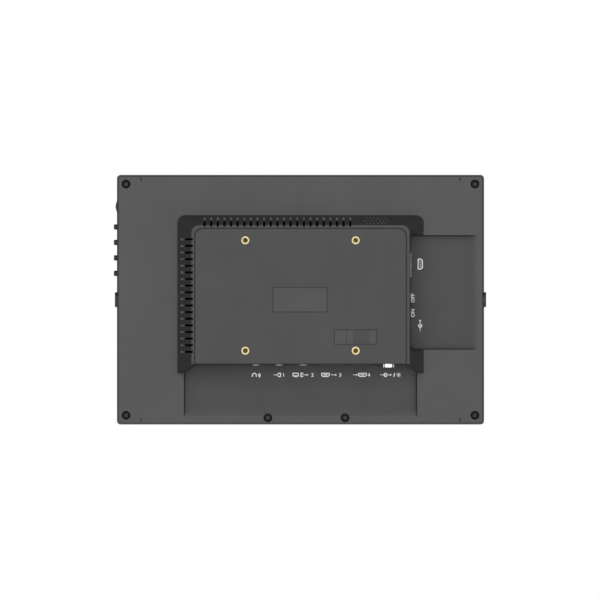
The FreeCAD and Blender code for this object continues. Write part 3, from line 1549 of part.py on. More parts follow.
clip_disc = rod(
    "clip_disc", d.clip_outer, "Y", (CLIP_REAR, CLIP_REAR + d.clip_thick), (DIAL_X, DIAL_Z),
)
clip_bore = rod(
    "clip_bore", d.dial_pin + 2 * d.dial_bore_play, "Y", (CLIP_REAR, CLIP_REAR + d.clip_thick),
    (DIAL_X, DIAL_Z),
)
node("dial_clip", cut("clip", clip_disc, [clip_bore]))

# Fixed frame that guides the carrier, with the push switch at its end
FRAME = CARRIER_FRONT + d.dial_step
FRAME_FRONT = FRAME + d.frame_thick
frame_half = d.carrier_half + d.dial_step + d.frame_rail
PUSH_FACE = DIAL_X - d.carrier_back - d.push_travel - d.dial_step
frame_back = PUSH_FACE - d.push_switch_long - d.frame_rail
frame_x = (frame_back, DIAL_X + d.carrier_front)
frame_pieces = [
    block("frame_plate", frame_x, (FRAME, FRAME_FRONT), about(DIAL_Z, 2 * frame_half)),
    block(
        "frame_end", (frame_back, frame_back + d.frame_rail), (CARRIER, FRAME_FRONT),
        about(DIAL_Z, 2 * frame_half),
    ),
]
frame_tools = []
for side, name in ((1, "upper"), (-1, "lower")):
    rail = (d.carrier_half + d.dial_step, frame_half)
    ear = (frame_half, frame_half + d.frame_ear)
    spans = [(DIAL_Z + side * low, DIAL_Z + side * high) for low, high in (rail, ear)]
    if side < 0:
        spans = [(high, low) for low, high in spans]
    frame_pieces.append(block(f"frame_rail_{name}", frame_x, (CARRIER, FRAME_FRONT), spans[0]))
    ear_deep = (CARRIER, CARRIER + d.frame_thick)
    ear_x = about(DIAL_POST_X, d.frame_ear_width)
    frame_pieces.append(block(f"frame_ear_{name}", ear_x, ear_deep, spans[1]))
    spot = (DIAL_POST_X, DIAL_Z + side * DIAL_POST_RISE)
    frame_tools.append(rod(f"frame_hole_{name}", SMALL_HOLE, "Y", ear_deep, spot))
node("dial_frame", cut("frame_cut", join("frame_solid", frame_pieces), frame_tools))
node(
    "dial_push_switch",
    block(
        "dial_push_switch", (PUSH_FACE - d.push_switch_long, PUSH_FACE), (CARRIER, FRAME),
        about(DIAL_Z, d.key_switch_side),
    ),
)

# Speaker on the inside of the upper bevel
bevel_long = root(d.hump_top_flare * d.hump_top_flare + PLATE * PLATE)
lean_z = PLATE / bevel_long
lean_y = d.hump_top_flare / bevel_long
bevel_tilt = Size(
    f"atan({d.hump_top_flare.formula} / {PLATE.formula})",
    math.degrees(math.atan(d.hump_top_flare.value / PLATE.value)),
)
bevel_mid_z = d.hump_top + d.hump_top_flare / 2 - d.bevel_inset
bevel_mid_depth = d.wall + PLATE / 2


def on_bevel(label, pieces, tools, distance):
    """Boxes laid on the inside of the bevel, at a distance from its face."""
    body = new_body(label)
    for n, (wide, high, low, deep) in enumerate(pieces + tools):
        edge = draw(
            new_sketch(body, f"{label}_edge_{n}", "XY_Plane", -low - deep),
            [rectangle(about(ZERO, wide), about(ZERO, high))],
        )
        if n < len(pieces):
            grow(body, edge, f"{label}_pad_{n}", deep)
        else:
            sink(body, edge, f"{label}_cut_{n}", deep)
    body.Placement = FreeCAD.Placement(VEC(), FreeCAD.Rotation(VEC(1, 0, 0), 1))
    bind(body, "Placement.Rotation.Angle", -bevel_tilt)
    move(
        body, -d.grille_centre, lean_y * -distance - bevel_mid_depth,
        bevel_mid_z - lean_z * distance,
    )
    return node(label, body)


rim2 = 2 * d.speaker_rim
speaker_inner = (d.speaker_long - rim2, d.speaker_wide - rim2)
seat_gap = d.panel_play
on_bevel(
    "speaker_gasket",
    [(d.speaker_long, d.speaker_wide, ZERO, d.speaker_gasket_thick)],
    [speaker_inner + (ZERO, d.speaker_gasket_thick)],
    seat_gap,
)
frame_at = seat_gap + d.speaker_gasket_thick
on_bevel(
    "speaker_frame",
    [(d.speaker_long, d.speaker_wide, ZERO, d.speaker_deep)],
    [speaker_inner + (ZERO, d.speaker_deep)],
    frame_at,
)
on_bevel(
    "speaker_cone", [speaker_inner + (d.cone_sink, d.cone_thick)], [], frame_at,
)
on_bevel(
    "speaker_magnet",
    [
        (d.magnet_long, d.magnet_wide, d.cone_sink + d.cone_thick, d.magnet_deep),
        (d.speaker_long, d.magnet_wide, d.speaker_deep, d.cone_thick),
    ],
    [],
    frame_at,
)

# Driver board on the display's back, and the ribbons between boards
driver_z = (-d.driver_drop - d.driver_height, -d.driver_drop)
DRIVER = CHASSIS_BACK - d.driver_thick
node(
    "panel_driver_board",
    block("panel_driver_board", about(ZERO, d.driver_width), (DRIVER, CHASSIS_BACK), driver_z),
)


def strip(label, role, offset, width, across, route):
    """A flat ribbon of even thickness along a route of points, drawn edge on."""
    body = new_body(label)
    thick = d.ribbon_thick
    if across == "x":
        path = route + [(x + thick, y) for x, y in reversed(route)]
    else:
        path = route + [(x, y + thick) for x, y in reversed(route)]
    grow(body, draw(new_sketch(body, f"{label}_edge", role, offset), [path]), f"{label}_pad", width)
    return node(label, body)


front_face = -BOARD_FRONT - d.ribbon_thick
lower_z = driver_z[1] + d.ribbon_lap
upper_z = lower_z + d.ribbon_rise
strip(
    "panel_ribbon", "YZ_Plane", -d.panel_ribbon_width / 2, d.panel_ribbon_width, "x",
    [
        (-DRIVER, driver_z[1] - d.ribbon_lap), (-DRIVER, lower_z),
        (front_face, upper_z), (front_face, upper_z + d.ribbon_lap),
    ],
)
strip(
    "key_ribbon", "XY_Plane", d.key_ribbon_up, d.key_ribbon_width, "y",
    [
        (d.board_side - d.ribbon_lap, front_face), (d.board_side + d.ribbon_lap, front_face),
        (d.board_side + d.ribbon_lap + d.ribbon_rise, -CONTROL), (key_x[0], -CONTROL),
    ],
)

# Small screws of the boards, the dial frame and the brackets, all alike
small = new_body("small_screw")
small_profile = draw(
    new_sketch(small, "small_profile", "XZ_Plane", ZERO),
    [[
        (ZERO, -d.small_head_height), (d.small_head / 2, -d.small_head_height),
        (d.small_head / 2, ZERO), (d.small_thread / 2, ZERO),
        (d.small_thread / 2, d.small_length - d.small_end), (ZERO, d.small_length - d.small_end),
    ]],
)
turn(small, small_profile, "small_turned", "V_Axis")
small_places = [((x, -BOARD_FRONT, z), ALONG_Y) for x, z in BOARD_SPOTS]
small_places += [((x, -CARRIER - d.frame_thick, z), ALONG_Y) for x, z in DIAL_SPOTS]
small_places += [((x, -BRACKET, z), ALONG_MINUS_Y) for x, z in BRACKET_SPOTS]
small_places += [((key_x[0], -CONTROL, z), ALONG_X) for z in KEY_POST_Z]
copies("small_screws", small, small_places)

# Every object has to be sound before any file is written
doc.recompute()
for thing in doc.Objects:
    if "Invalid" in thing.State or "Error" in thing.State:
        raise RuntimeError(f"{thing.Name} failed: {thing.State}")
for label, thing in nodes.items():
    if thing.Shape.isNull() or not thing.Shape.isValid() or not thing.Shape.Solids:
        raise RuntimeError(f"{label} has no sound shape")
os.makedirs("parts", exist_ok=True)
for label, thing in nodes.items():
    thing.Shape.exportStep(f"parts/{label}.step")
    print(label, len(thing.Shape.Solids), round(thing.Shape.Volume, 2))
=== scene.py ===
"""Looks of the camera field monitor: finishes, printed signs, threads, contacts, stage."""

import math

import bmesh
import bpy
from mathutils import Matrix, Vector


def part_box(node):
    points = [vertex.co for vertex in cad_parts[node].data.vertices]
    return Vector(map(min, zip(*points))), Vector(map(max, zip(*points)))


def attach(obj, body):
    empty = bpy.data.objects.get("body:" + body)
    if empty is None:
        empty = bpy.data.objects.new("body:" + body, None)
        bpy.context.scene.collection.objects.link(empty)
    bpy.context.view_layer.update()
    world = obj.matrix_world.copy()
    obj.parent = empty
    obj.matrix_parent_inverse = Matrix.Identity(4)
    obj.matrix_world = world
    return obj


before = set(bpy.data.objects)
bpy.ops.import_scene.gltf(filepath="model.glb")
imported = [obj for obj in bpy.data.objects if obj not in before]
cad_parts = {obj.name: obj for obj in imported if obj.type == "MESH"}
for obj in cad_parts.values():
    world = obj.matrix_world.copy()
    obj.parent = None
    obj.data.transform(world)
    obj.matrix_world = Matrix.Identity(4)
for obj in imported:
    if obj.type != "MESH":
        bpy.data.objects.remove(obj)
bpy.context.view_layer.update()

MM = 0.001
HUB = "monitor"
MERGE = 0.001 * MM

# Depths of the plate and of the vent floors below the hump's rear face, and the width of the rim
PLATE_DEPTH = 12 * MM
VENT_DEPTH = 8.9 * MM
BORDER = 3.4 * MM


# Shader helpers

def wire(tree, start, end):
    tree.links.new(start, end)


def feed(tree, value, socket):
    """Wires an output to a socket, or sets the socket to a plain value."""
    if hasattr(value, "is_linked"):
        wire(tree, value, socket)
    else:
        socket.default_value = value


def math_node(tree, operation, first, second=None):
    made = tree.nodes.new("ShaderNodeMath")
    made.operation = operation
    feed(tree, first, made.inputs[0])
    if second is not None:
        feed(tree, second, made.inputs[1])
    return made.outputs[0]


def product(tree, *factors):
    made = factors[0]
    for factor in factors[1:]:
        made = math_node(tree, "MULTIPLY", made, factor)
    return made


def ramp(tree, value, low, high, bottom=0.0, top=1.0):
    """Goes from bottom to top while a value goes from low to high."""
    made = tree.nodes.new("ShaderNodeMapRange")
    ends = {"Value": value, "From Min": low, "From Max": high, "To Min": bottom, "To Max": top}
    for key, end in ends.items():
        feed(tree, end, made.inputs[key])
    return made.outputs["Result"]


def toned(tree, mask, tone):
    """One outside a mask, and the given tone within it."""
    return ramp(tree, mask, 0.0, 1.0, 1.0, tone)


def mixed(tree, factor, first, second):
    """A colour between two colours."""
    made = tree.nodes.new("ShaderNodeMix")
    made.data_type = "RGBA"
    feed(tree, factor, made.inputs[0])
    for place, colour in ((6, first), (7, second)):
        feed(tree, (*colour, 1) if isinstance(colour, tuple) else colour, made.inputs[place])
    return made.outputs[2]


def scaled(tree, colour, factor):
    """A colour made paler or darker by a factor."""
    made = tree.nodes.new("ShaderNodeVectorMath")
    made.operation = "SCALE"
    wire(tree, colour, made.inputs[0])
    wire(tree, factor, made.inputs["Scale"])
    return made.outputs[0]


def noise(tree, vector, scale, detail=2.0, roughness=0.55):
    made = tree.nodes.new("ShaderNodeTexNoise")
    values = {"Vector": vector, "Scale": scale, "Detail": detail, "Roughness": roughness}
    for key, value in values.items():
        feed(tree, value, made.inputs[key])
    return made.outputs[0]


def stretched(tree, vector, scale):
    made = tree.nodes.new("ShaderNodeMapping")
    wire(tree, vector, made.inputs["Vector"])
    made.inputs["Scale"].default_value = scale
    return made.outputs[0]


def split(tree, vector):
    """The X, Y and Z of a vector."""
    made = tree.nodes.new("ShaderNodeSeparateXYZ")
    wire(tree, vector, made.inputs[0])
    return made.outputs


def object_place(tree):
    return tree.nodes.new("ShaderNodeTexCoord").outputs["Object"]


def plain(value):
    """A number as it is, a colour with its fourth value."""
    return value if isinstance(value, float) else (*value, 1)


def new_group(name, inputs):
    """An empty finish with number or colour inputs, and the place on the piece."""
    tree = bpy.data.node_groups.new(name, "ShaderNodeTree")
    for label, value in inputs.items():
        kind = "NodeSocketFloat" if isinstance(value, float) else "NodeSocketColor"
        made = tree.interface.new_socket(label, in_out="INPUT", socket_type=kind)
        made.default_value = plain(value)
    for label, kind in (("Colour", "Color"), ("Roughness", "Float"), ("Height", "Float")):
        tree.interface.new_socket(label, in_out="OUTPUT", socket_type=f"NodeSocket{kind}")
    start = tree.nodes.new("NodeGroupInput")
    end = tree.nodes.new("NodeGroupOutput")
    return tree, start.outputs, end.inputs, object_place(tree)


def solids_of(node):
    """Centres of the separate solids that share one node."""
    build = bmesh.new()
    build.from_mesh(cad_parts[node].data)
    bmesh.ops.remove_doubles(build, verts=build.verts, dist=MERGE)
    left = set(build.verts)
    centres = []
    while left:
        reached, front = set(), [left.pop()]
        while front:
            vertex = front.pop()
            reached.add(vertex)
            front += [e.other_vert(vertex) for e in vertex.link_edges
                      if e.other_vert(vertex) not in reached]
        left -= reached
        spots = [v.co for v in reached]
        low = Vector(min(c[axis] for c in spots) for axis in range(3))
        high = Vector(max(c[axis] for c in spots) for axis in range(3))
        centres.append((low + high) / 2)
    build.free()
    return centres


def off_axis(tree, place, axes):
    """Distance from the nearest of several axes along Y."""
    flat = tree.nodes.new("ShaderNodeVectorMath")
    flat.operation = "MULTIPLY"
    wire(tree, place, flat.inputs[0])
    flat.inputs[1].default_value = (1, 0, 1)
    nearest = None
    for axis in axes:
        apart = tree.nodes.new("ShaderNodeVectorMath")
        apart.operation = "DISTANCE"
        wire(tree, flat.outputs[0], apart.inputs[0])
        apart.inputs[1].default_value = (axis.x, 0, axis.z)
        far = apart.outputs["Value"]
        nearest = far if nearest is None else math_node(tree, "MINIMUM", nearest, far)
    return nearest


# Shared finishes

DUST_COLOUR = (0.42, 0.41, 0.39)
GRAIN_REACH = 0.05 * MM
LINES_REACH = 0.03 * MM
FILM_REACH = 0.02 * MM


def make_moulded():
    """Spark-eroded plastic: fine grain, uneven tone, a little dust on what faces up."""
    tree, given, sent, place = new_group(
        "moulded_finish",
        {"Tone": (0.08, 0.08, 0.08), "Grain": 3000.0, "Spread": 0.06, "Dust": 0.05, "Rough": 0.55},
    )
    fine = noise(tree, place, given["Grain"], detail=2.0, roughness=0.6)
    cloud = noise(tree, place, scale=26.0, detail=4.0, roughness=0.6)
    hands = stretched(tree, place, (40.0, 40.0, 9.0))
    smear = noise(tree, hands, scale=3.0, detail=3.0, roughness=0.6)
    lint = noise(tree, place, scale=420.0, detail=5.0, roughness=0.7)
    dark = math_node(tree, "SUBTRACT", 1.0, given["Spread"])
    pale = math_node(tree, "ADD", 1.0, given["Spread"])
    patch = ramp(tree, cloud, 0.3, 0.7, dark, pale)
    speck = ramp(tree, fine, 0.25, 0.75, 0.93, 1.07)
    tone = scaled(tree, given["Tone"], product(tree, patch, speck))
    facing = split(tree, tree.nodes.new("ShaderNodeNewGeometry").outputs["Normal"])
    flat = ramp(tree, facing["Z"], 0.35, 0.95)
    lying = product(tree, flat, ramp(tree, lint, 0.5, 0.72), given["Dust"])
    wire(tree, mixed(tree, lying, tone, DUST_COLOUR), sent["Colour"])
    handled = ramp(tree, smear, 0.35, 0.7, -0.05, 0.06)
    wire(tree, math_node(tree, "ADD", given["Rough"], handled), sent["Roughness"])
    wire(tree, fine, sent["Height"])
    return tree


def make_worked():
    """Turned or rolled metal: fine lines, tarnish in patches."""
    tree, given, sent, place = new_group(
        "worked_metal",
        {"Metal": (0.6, 0.6, 0.6), "Tarnish": (0.3, 0.3, 0.3), "Lines": 2600.0, "Amount": 0.35,
         "Rough": 0.3},
    )
    along = stretched(tree, place, (1.0, 6.0, 1.0))
    lines = noise(tree, along, given["Lines"], detail=1.0, roughness=0.5)
    patch = noise(tree, place, scale=520.0, detail=4.0, roughness=0.65)
    stain = product(tree, ramp(tree, patch, 0.45, 0.75), given["Amount"])
    wire(tree, mixed(tree, stain, given["Metal"], given["Tarnish"]), sent["Colour"])
    dull = ramp(tree, patch, 0.35, 0.7, -0.05, 0.15)
    wire(tree, math_node(tree, "ADD", given["Rough"], dull), sent["Roughness"])
    wire(tree, lines, sent["Height"])
    return tree


MOULDED = make_moulded()
WORKED = make_worked()


def new_material(name, **even):
    """A material with its shader, whose even values sit on the shader's own sockets."""
    material = bpy.data.materials.new(name)
    material.use_nodes = True
    tree = material.node_tree
    tree.nodes.clear()
    shader = tree.nodes.new("ShaderNodeBsdfPrincipled")
    end = tree.nodes.new("ShaderNodeOutputMaterial")
    wire(tree, shader.outputs[0], end.inputs["Surface"])
    for key, value in even.items():
        shader.inputs[key.replace("_", " ").title().replace("Ior", "IOR")].default_value = value
    return material, tree, shader


def finish(tree, shader, group, values, relief, reach):
    """Places a shared finish in a material, with bump from its height."""
    made = tree.nodes.new("ShaderNodeGroup")
    made.node_tree = group
    for key, value in values.items():
        made.inputs[key].default_value = plain(value)
    wire(tree, made.outputs["Colour"], shader.inputs["Base Color"])
    wire(tree, made.outputs["Roughness"], shader.inputs["Roughness"])
    bump = tree.nodes.new("ShaderNodeBump")
    bump.inputs["Strength"].default_value = relief
    bump.inputs["Distance"].default_value = reach
    wire(tree, made.outputs["Height"], bump.inputs["Height"])
    wire(tree, bump.outputs[0], shader.inputs["Normal"])
    return made


def plastic(name, tone, grain=3000.0, rough=0.55, spread=0.06, dust=0.05, relief=0.25, **even):
    material, tree, shader = new_material(name, **even)
    values = {"Tone": tone, "Grain": grain, "Rough": rough, "Spread": spread, "Dust": dust}
    finish(tree, shader, MOULDED, values, relief, GRAIN_REACH)
    return material


def metal(name, colour, tarnish, rough=0.3, amount=0.35, lines=2600.0, relief=0.2):
    material, tree, shader = new_material(name, metallic=1.0)
    values = {
        "Metal": colour, "Tarnish": tarnish, "Rough": rough, "Amount": amount, "Lines": lines,
    }
    finish(tree, shader, WORKED, values, relief, LINES_REACH)
    return material


BEZEL = plastic("bezel_plastic", (0.06, 0.06, 0.061), rough=0.5, specular_ior_level=0.2)
KEYS = plastic(
    "key_plastic", (0.022, 0.022, 0.023), rough=0.42, dust=0.03, specular_ior_level=0.22,
)
SOCKET_BLACK = plastic("socket_plastic", (0.018, 0.018, 0.019), rough=0.45)
CHIP = plastic("chip_resin", (0.02, 0.02, 0.021), rough=0.6)
FOAM = plastic("foam", (0.012, 0.012, 0.012), grain=1800.0, rough=0.9, relief=0.7)
CONE = plastic("cone_film", (0.06, 0.06, 0.06), rough=0.6)
CLOTH = plastic("grille_cloth", (0.115, 0.115, 0.116), grain=1800.0, rough=0.9, relief=0.5)
GUIDE = plastic("guide_plastic", (0.75, 0.77, 0.78), rough=0.2, spread=0.02, relief=0.05)
BRASS = metal("turned_brass", (0.51, 0.437, 0.25), (0.4, 0.32, 0.16), rough=0.36)
# Dark brass: painted shade inside the threaded holes of the inserts
SHADED_BRASS = metal("brass_painted_shade", (0.17, 0.12, 0.04), (0.1, 0.07, 0.025), rough=0.45)
PLATED = metal("nickel_plate", (0.86, 0.86, 0.85), (0.62, 0.61, 0.58), rough=0.18, amount=0.25)
STEEL = metal("zinc_steel", (0.52, 0.52, 0.53), (0.33, 0.33, 0.34), rough=0.36)
BLACK_STEEL = metal("blackened_steel", (0.045, 0.045, 0.047), (0.02, 0.02, 0.02), rough=0.42)
# Dark plating: painted shade on metal sockets that sit in recesses
SHADED_PLATE = metal("black_nickel", (0.1, 0.1, 0.103), (0.05, 0.05, 0.05), rough=0.3)
JACK = plastic("jack_plastic", (0.3, 0.3, 0.302), rough=0.4)
# Near-black coating, and painted shade that keeps the vents dark
COATED_AND_SHADED = plastic("black_coating_and_shade", (0.012, 0.012, 0.013), rough=0.7, dust=0.02)
GOLD = metal("gilt_contacts", (0.88, 0.66, 0.28), (0.62, 0.43, 0.16), rough=0.25)
INK = plastic("white_ink", (0.88, 0.88, 0.87), grain=5200.0, spread=0.08, dust=0.0, relief=0.1)

# Factors on the casing's colour: the plate and hump tones, painted shade on the flanks, rim,
# upright walls and screw wells, painted light on the bay ends and vent floors, and painted shade
# on the screw rims
PLATE_TONE, HUMP_TONE = 1.1, 0.9
FLANK_SHADE = 0.37
RIM_SHADE, BAY_END_LIGHT = 0.4, 1.5
WALL_SHADE = 0.5
WELL_SHADE = 0.15
VENT_FLOOR_LIGHT = 1.9
SCREW_RIM_SHADE = 0.12

SOFT_EDGE = 0.1 * MM
SCREW_AXES = solids_of("cover_screws")


def make_casing():
    """Moulded plastic, toned by place.

    The plate is paler than the hump and the bays. Painted shade darkens the flanks of the hump,
    the upright walls, the rim and the screw wells. Painted light makes the sloping ends of the
    bays and the vent floors paler.
    """
    material, tree, shader = new_material("casing_plastic", specular_ior_level=0.14)
    values = {
        "Tone": (0.083, 0.0826, 0.083), "Grain": 3000.0, "Rough": 0.55, "Spread": 0.05,
        "Dust": 0.02,
    }
    made = finish(tree, shader, MOULDED, values, relief=0.25, reach=GRAIN_REACH)
    given = tree.nodes.new("ShaderNodeTexCoord")
    place = split(tree, given.outputs["Object"])
    facing = split(tree, given.outputs["Normal"])["Y"]

    above, below = -PLATE_DEPTH + SOFT_EDGE, -PLATE_DEPTH - SOFT_EDGE
    raised = ramp(tree, place["Y"], below, above)
    sunk = ramp(tree, place["Y"], above, below)
    low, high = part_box("rear_cover")
    sides = []
    for axis in ("X", "Z"):
        for end, sense in ((low, 1), (high, -1)):
            edge = getattr(end, axis.lower()) + sense * BORDER
            sides.append(ramp(tree, place[axis], edge, edge + sense * SOFT_EDGE))
    inner = product(tree, *sides)
    upright = ramp(tree, math_node(tree, "ABSOLUTE", facing), 0.4, 0.3)

    off_plate = math_node(tree, "ABSOLUTE", math_node(tree, "ADD", place["Y"], PLATE_DEPTH))
    level = ramp(tree, off_plate, 0.5 * MM, 2.0 * MM, PLATE_TONE, HUMP_TONE)
    # Masks for painted shade on the flanks, rim, upright walls and screw wells, and for painted
    # light on the bay ends and vent floors
    flank = product(tree, ramp(tree, facing, 0.3, 0.4), ramp(tree, facing, 0.9, 0.75), raised)
    bend = product(tree, ramp(tree, facing, 0.99, 0.7), ramp(tree, facing, 0.4, 0.5), sunk)
    rim_shade_and_bay_light = ramp(tree, inner, 0.0, 1.0, RIM_SHADE, BAY_END_LIGHT)
    off_vent = math_node(tree, "ABSOLUTE", math_node(tree, "ADD", place["Y"], VENT_DEPTH))
    vent = product(
        tree, ramp(tree, facing, 0.97, 0.99), ramp(tree, off_vent, 0.2 * MM, 0.1 * MM),
    )
    off_screw = off_axis(tree, given.outputs["Object"], SCREW_AXES)
    shaded_well = product(tree, ramp(tree, off_screw, 2.85 * MM, 2.7 * MM), sunk)
    # The casing's colour times the plate and hump tones and these painted shades and lights
    tone = product(
        tree, level, toned(tree, flank, FLANK_SHADE), toned(tree, bend, rim_shade_and_bay_light),
        toned(tree, product(tree, upright, inner), WALL_SHADE), toned(tree, vent, VENT_FLOOR_LIGHT),
        toned(tree, shaded_well, WELL_SHADE),
    )
    wire(tree, scaled(tree, made.outputs["Colour"], tone), shader.inputs["Base Color"])

    outer = product(tree, upright, math_node(tree, "SUBTRACT", 1.0, inner))
    rough = ramp(tree, outer, 0.0, 1.0, made.outputs["Roughness"], 1.0)
    wire(tree, rough, shader.inputs["Roughness"])
    return material


def make_screw_black():
    """Blackened screw with painted shade on the rim of its head, so that the crown is paler."""
    material, tree, shader = new_material("screw_black", specular_ior_level=0.08)
    values = {
        "Tone": (0.085, 0.085, 0.086), "Grain": 2600.0, "Rough": 0.45, "Spread": 0.1, "Dust": 0.0,
    }
    made = finish(tree, shader, MOULDED, values, relief=0.2, reach=LINES_REACH)
    off_screw = off_axis(tree, object_place(tree), SCREW_AXES)
    # Painted shade on the rim of each screw head
    tone = ramp(tree, off_screw, 1.0 * MM, 1.5 * MM, 1.0, SCREW_RIM_SHADE)
    wire(tree, scaled(tree, made.outputs["Colour"], tone), shader.inputs["Base Color"])
    return material


def make_board():
    """Green solder mask with paler tracks."""
    material, tree, shader = new_material("solder_mask")
    place = object_place(tree)
    turned = tree.nodes.new("ShaderNodeMapping")
    turned.inputs["Rotation"].default_value = (math.pi / 2, 0, 0)
    wire(tree, place, turned.inputs["Vector"])
    bricks = tree.nodes.new("ShaderNodeTexBrick")
    wire(tree, turned.outputs[0], bricks.inputs["Vector"])
    values = {
        "Scale": 160.0, "Mortar Size": 0.06, "Color1": (0.012, 0.085, 0.04),
        "Color2": (0.016, 0.11, 0.05), "Mortar": (0.04, 0.2, 0.09),
    }
    for key, value in values.items():
        bricks.inputs[key].default_value = plain(value)
    wire(tree, bricks.outputs["Color"], shader.inputs["Base Color"])
    rough = ramp(tree, noise(tree, place, scale=900.0, detail=3.0), 0.3, 0.7, 0.28, 0.45)
    wire(tree, rough, shader.inputs["Roughness"])
    return material


def make_ribbon():
    """Black film with its tracks showing faintly."""
    material, tree, shader = new_material("ribbon_film")
    place = object_place(tree)
    waves = tree.nodes.new("ShaderNodeTexWave")
    wire(tree, place, waves.inputs["Vector"])
    waves.inputs["Scale"].default_value = 320.0
    tracks = ramp(tree, waves.outputs["Fac"], 0.45, 0.55)
    colour = mixed(tree, tracks, (0.012, 0.012, 0.012), (0.02, 0.019, 0.017))
    wire(tree, colour, shader.inputs["Base Color"])
    rough = ramp(tree, noise(tree, place, scale=600.0), 0.3, 0.7, 0.22, 0.36)
    wire(tree, rough, shader.inputs["Roughness"])
    return material


LABEL_TONE = (0.08, 0.08, 0.0805)
LABEL_EDGE_TONE = (0.04, 0.04, 0.041)
LABEL_EDGE = 0.55 * MM


def make_label(node, fields=()):
    """Printed film with a thin dark outline and darker fields along X."""
    material, tree, shader = new_material(node + "_film", specular_ior_level=0.16)
    values = {"Tone": LABEL_TONE, "Grain": 5200.0, "Rough": 0.46, "Spread": 0.04, "Dust": 0.0}
    made = finish(tree, shader, MOULDED, values, relief=0.12, reach=FILM_REACH)
    place = split(tree, object_place(tree))
    colour = made.outputs["Colour"]
    for begin, end, shade in fields:
        after = math_node(tree, "GREATER_THAN", place["X"], begin * MM)
        before = math_node(tree, "LESS_THAN", place["X"], end * MM)
        colour = mixed(tree, product(tree, after, before), colour, shade)
    low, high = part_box(node)
    edges = []
    for axis in ("X", "Z"):
        near, far = getattr(low, axis.lower()), getattr(high, axis.lower())
        off = math_node(tree, "SUBTRACT", place[axis], (near + far) / 2)
        half = (far - near) / 2 - LABEL_EDGE
        edges.append(math_node(tree, "GREATER_THAN", math_node(tree, "ABSOLUTE", off), half))
    edge = math_node(tree, "MAXIMUM", *edges)
    wire(tree, mixed(tree, edge, colour, LABEL_EDGE_TONE), shader.inputs["Base Color"])
    return material


def make_screen_glass():
    """Clear front sheet with a fine anti-glare etch."""
    material, tree, shader = new_material(
        "front_glass", transmission_weight=1.0, ior=1.36, base_color=(0.86, 0.88, 0.88, 1),
    )
    etch = noise(tree, object_place(tree), scale=2400.0, detail=3.0)
    wire(tree, ramp(tree, etch, 0.3, 0.7, 0.05, 0.12), shader.inputs["Roughness"])
    return material


CELLS_PER_METRE = 5900.0
CELL_GAP = 0.18


def make_cell():
    """Switched-off display: near black, with a faint grid of cells."""
    material, tree, shader = new_material("display_cell", specular_ior_level=0.2)
    place = object_place(tree)
    parts = split(tree, place)
    within = []
    for axis in ("X", "Z"):
        part = math_node(tree, "FRACT", product(tree, parts[axis], CELLS_PER_METRE))
        within.append(math_node(tree, "GREATER_THAN", part, CELL_GAP))
    cloud = ramp(tree, noise(tree, place, scale=14.0, detail=2.0), 0.3, 0.7)
    grey = mixed(tree, cloud, (0.011, 0.012, 0.015), (0.014, 0.015, 0.018))
    colour = mixed(tree, product(tree, *within), (0.004, 0.004, 0.005), grey)
    wire(tree, colour, shader.inputs["Base Color"])
    wire(tree, ramp(tree, cloud, 0.0, 1.0, 0.16, 0.22), shader.inputs["Roughness"])
    return material


CASING = make_casing()
SCREW_BLACK = make_screw_black()
BOARD = make_board()
RIBBON = make_ribbon()
RATING = make_label("rating_label")
SERIAL = make_label(
    "serial_label",
    [(-46.9, -35.9, (0.064, 0.064, 0.065)), (-31.5, -31.0, (0.045, 0.045, 0.046))],
)
GLASS = make_screen_glass()
CELL = make_cell()

FINISHES = {
    CASING: ["rear_cover"],
    BEZEL: ["front_bezel"],
    SCREW_BLACK: ["cover_screws"],
    BLACK_STEEL: ["yoke_socket_left", "yoke_socket_right"],
    BRASS: ["mount_inserts"],
    STEEL: ["power_switch_body", "dial_clip", "dial_frame", "speaker_magnet", "small_screws"],
    # Black coating, and painted shade behind the vents
    COATED_AND_SHADED: ["panel_chassis", "panel_brackets", "heat_sink", "capacitors"],
    RATING: ["rating_label"],
    SERIAL: ["serial_label"],
    FOAM: ["screen_gasket", "speaker_gasket"],
    GLASS: ["screen_glass"],
    CELL: ["lcd_cell"],
    GUIDE: ["light_guide", "led_strip"],
    BOARD: ["main_board", "key_board", "panel_driver_board"],
    CHIP: ["video_processor", "key_switches", "dial_push_switch", "speaker_frame"],
    SOCKET_BLACK: ["digital_tongues", "dsub_insulator", "dc_jack"],
    JACK: ["ear_jack", "av_in_jack", "video_out_jack"],
    # Painted shade on the recessed socket shells
    SHADED_PLATE: ["digital_out_socket", "digital_in_socket", "dsub_shell", "tally_socket"],
    PLATED: ["tally_ring_nut", "dc_jack_pin"],
    KEYS: [
        "button_1", "button_2", "button_3", "button_4", "dial_wheel", "dial_carrier",
        "power_switch_knob", "switch_plunger_1", "switch_plunger_2", "switch_plunger_3",
        "switch_plunger_4",
    ],
    CONE: ["speaker_cone"],
    RIBBON: ["panel_ribbon", "key_ribbon"],
}
for material, names in FINISHES.items():
    for name in names:
        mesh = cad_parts[name].data
        mesh.materials.clear()
        mesh.materials.append(material)


# Mesh helpers

def keep(name, mesh, material, body=HUB):
    """Puts a finished mesh into the scene as a piece that rides on a body."""
    mesh.name = name
    mesh.materials.clear()
    mesh.materials.append(material)
    piece = bpy.data.objects.new(name, mesh)
    bpy.context.scene.collection.objects.link(piece)
    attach(piece, body)


def grown(name, points, tree, values):
    """Runs a node tree on loose points and gives back the plain mesh it makes."""
    seed = bpy.data.meshes.new(name)
    seed.from_pydata([tuple(p) for p in points], [], [])
    carrier = bpy.data.objects.new(name + "_seed", seed)
    bpy.context.scene.collection.objects.link(carrier)
    modifier = carrier.modifiers.new("grow", "NODES")
    modifier.node_group = tree
    for item in tree.interface.items_tree:
        if item.in_out == "INPUT" and item.name in values:
            modifier[item.identifier] = values[item.name]
    graph = bpy.context.evaluated_depsgraph_get()
    mesh = bpy.data.meshes.new_from_object(carrier.evaluated_get(graph))
    carrier.modifiers.remove(modifier)
    bpy.data.objects.remove(carrier)
    return mesh


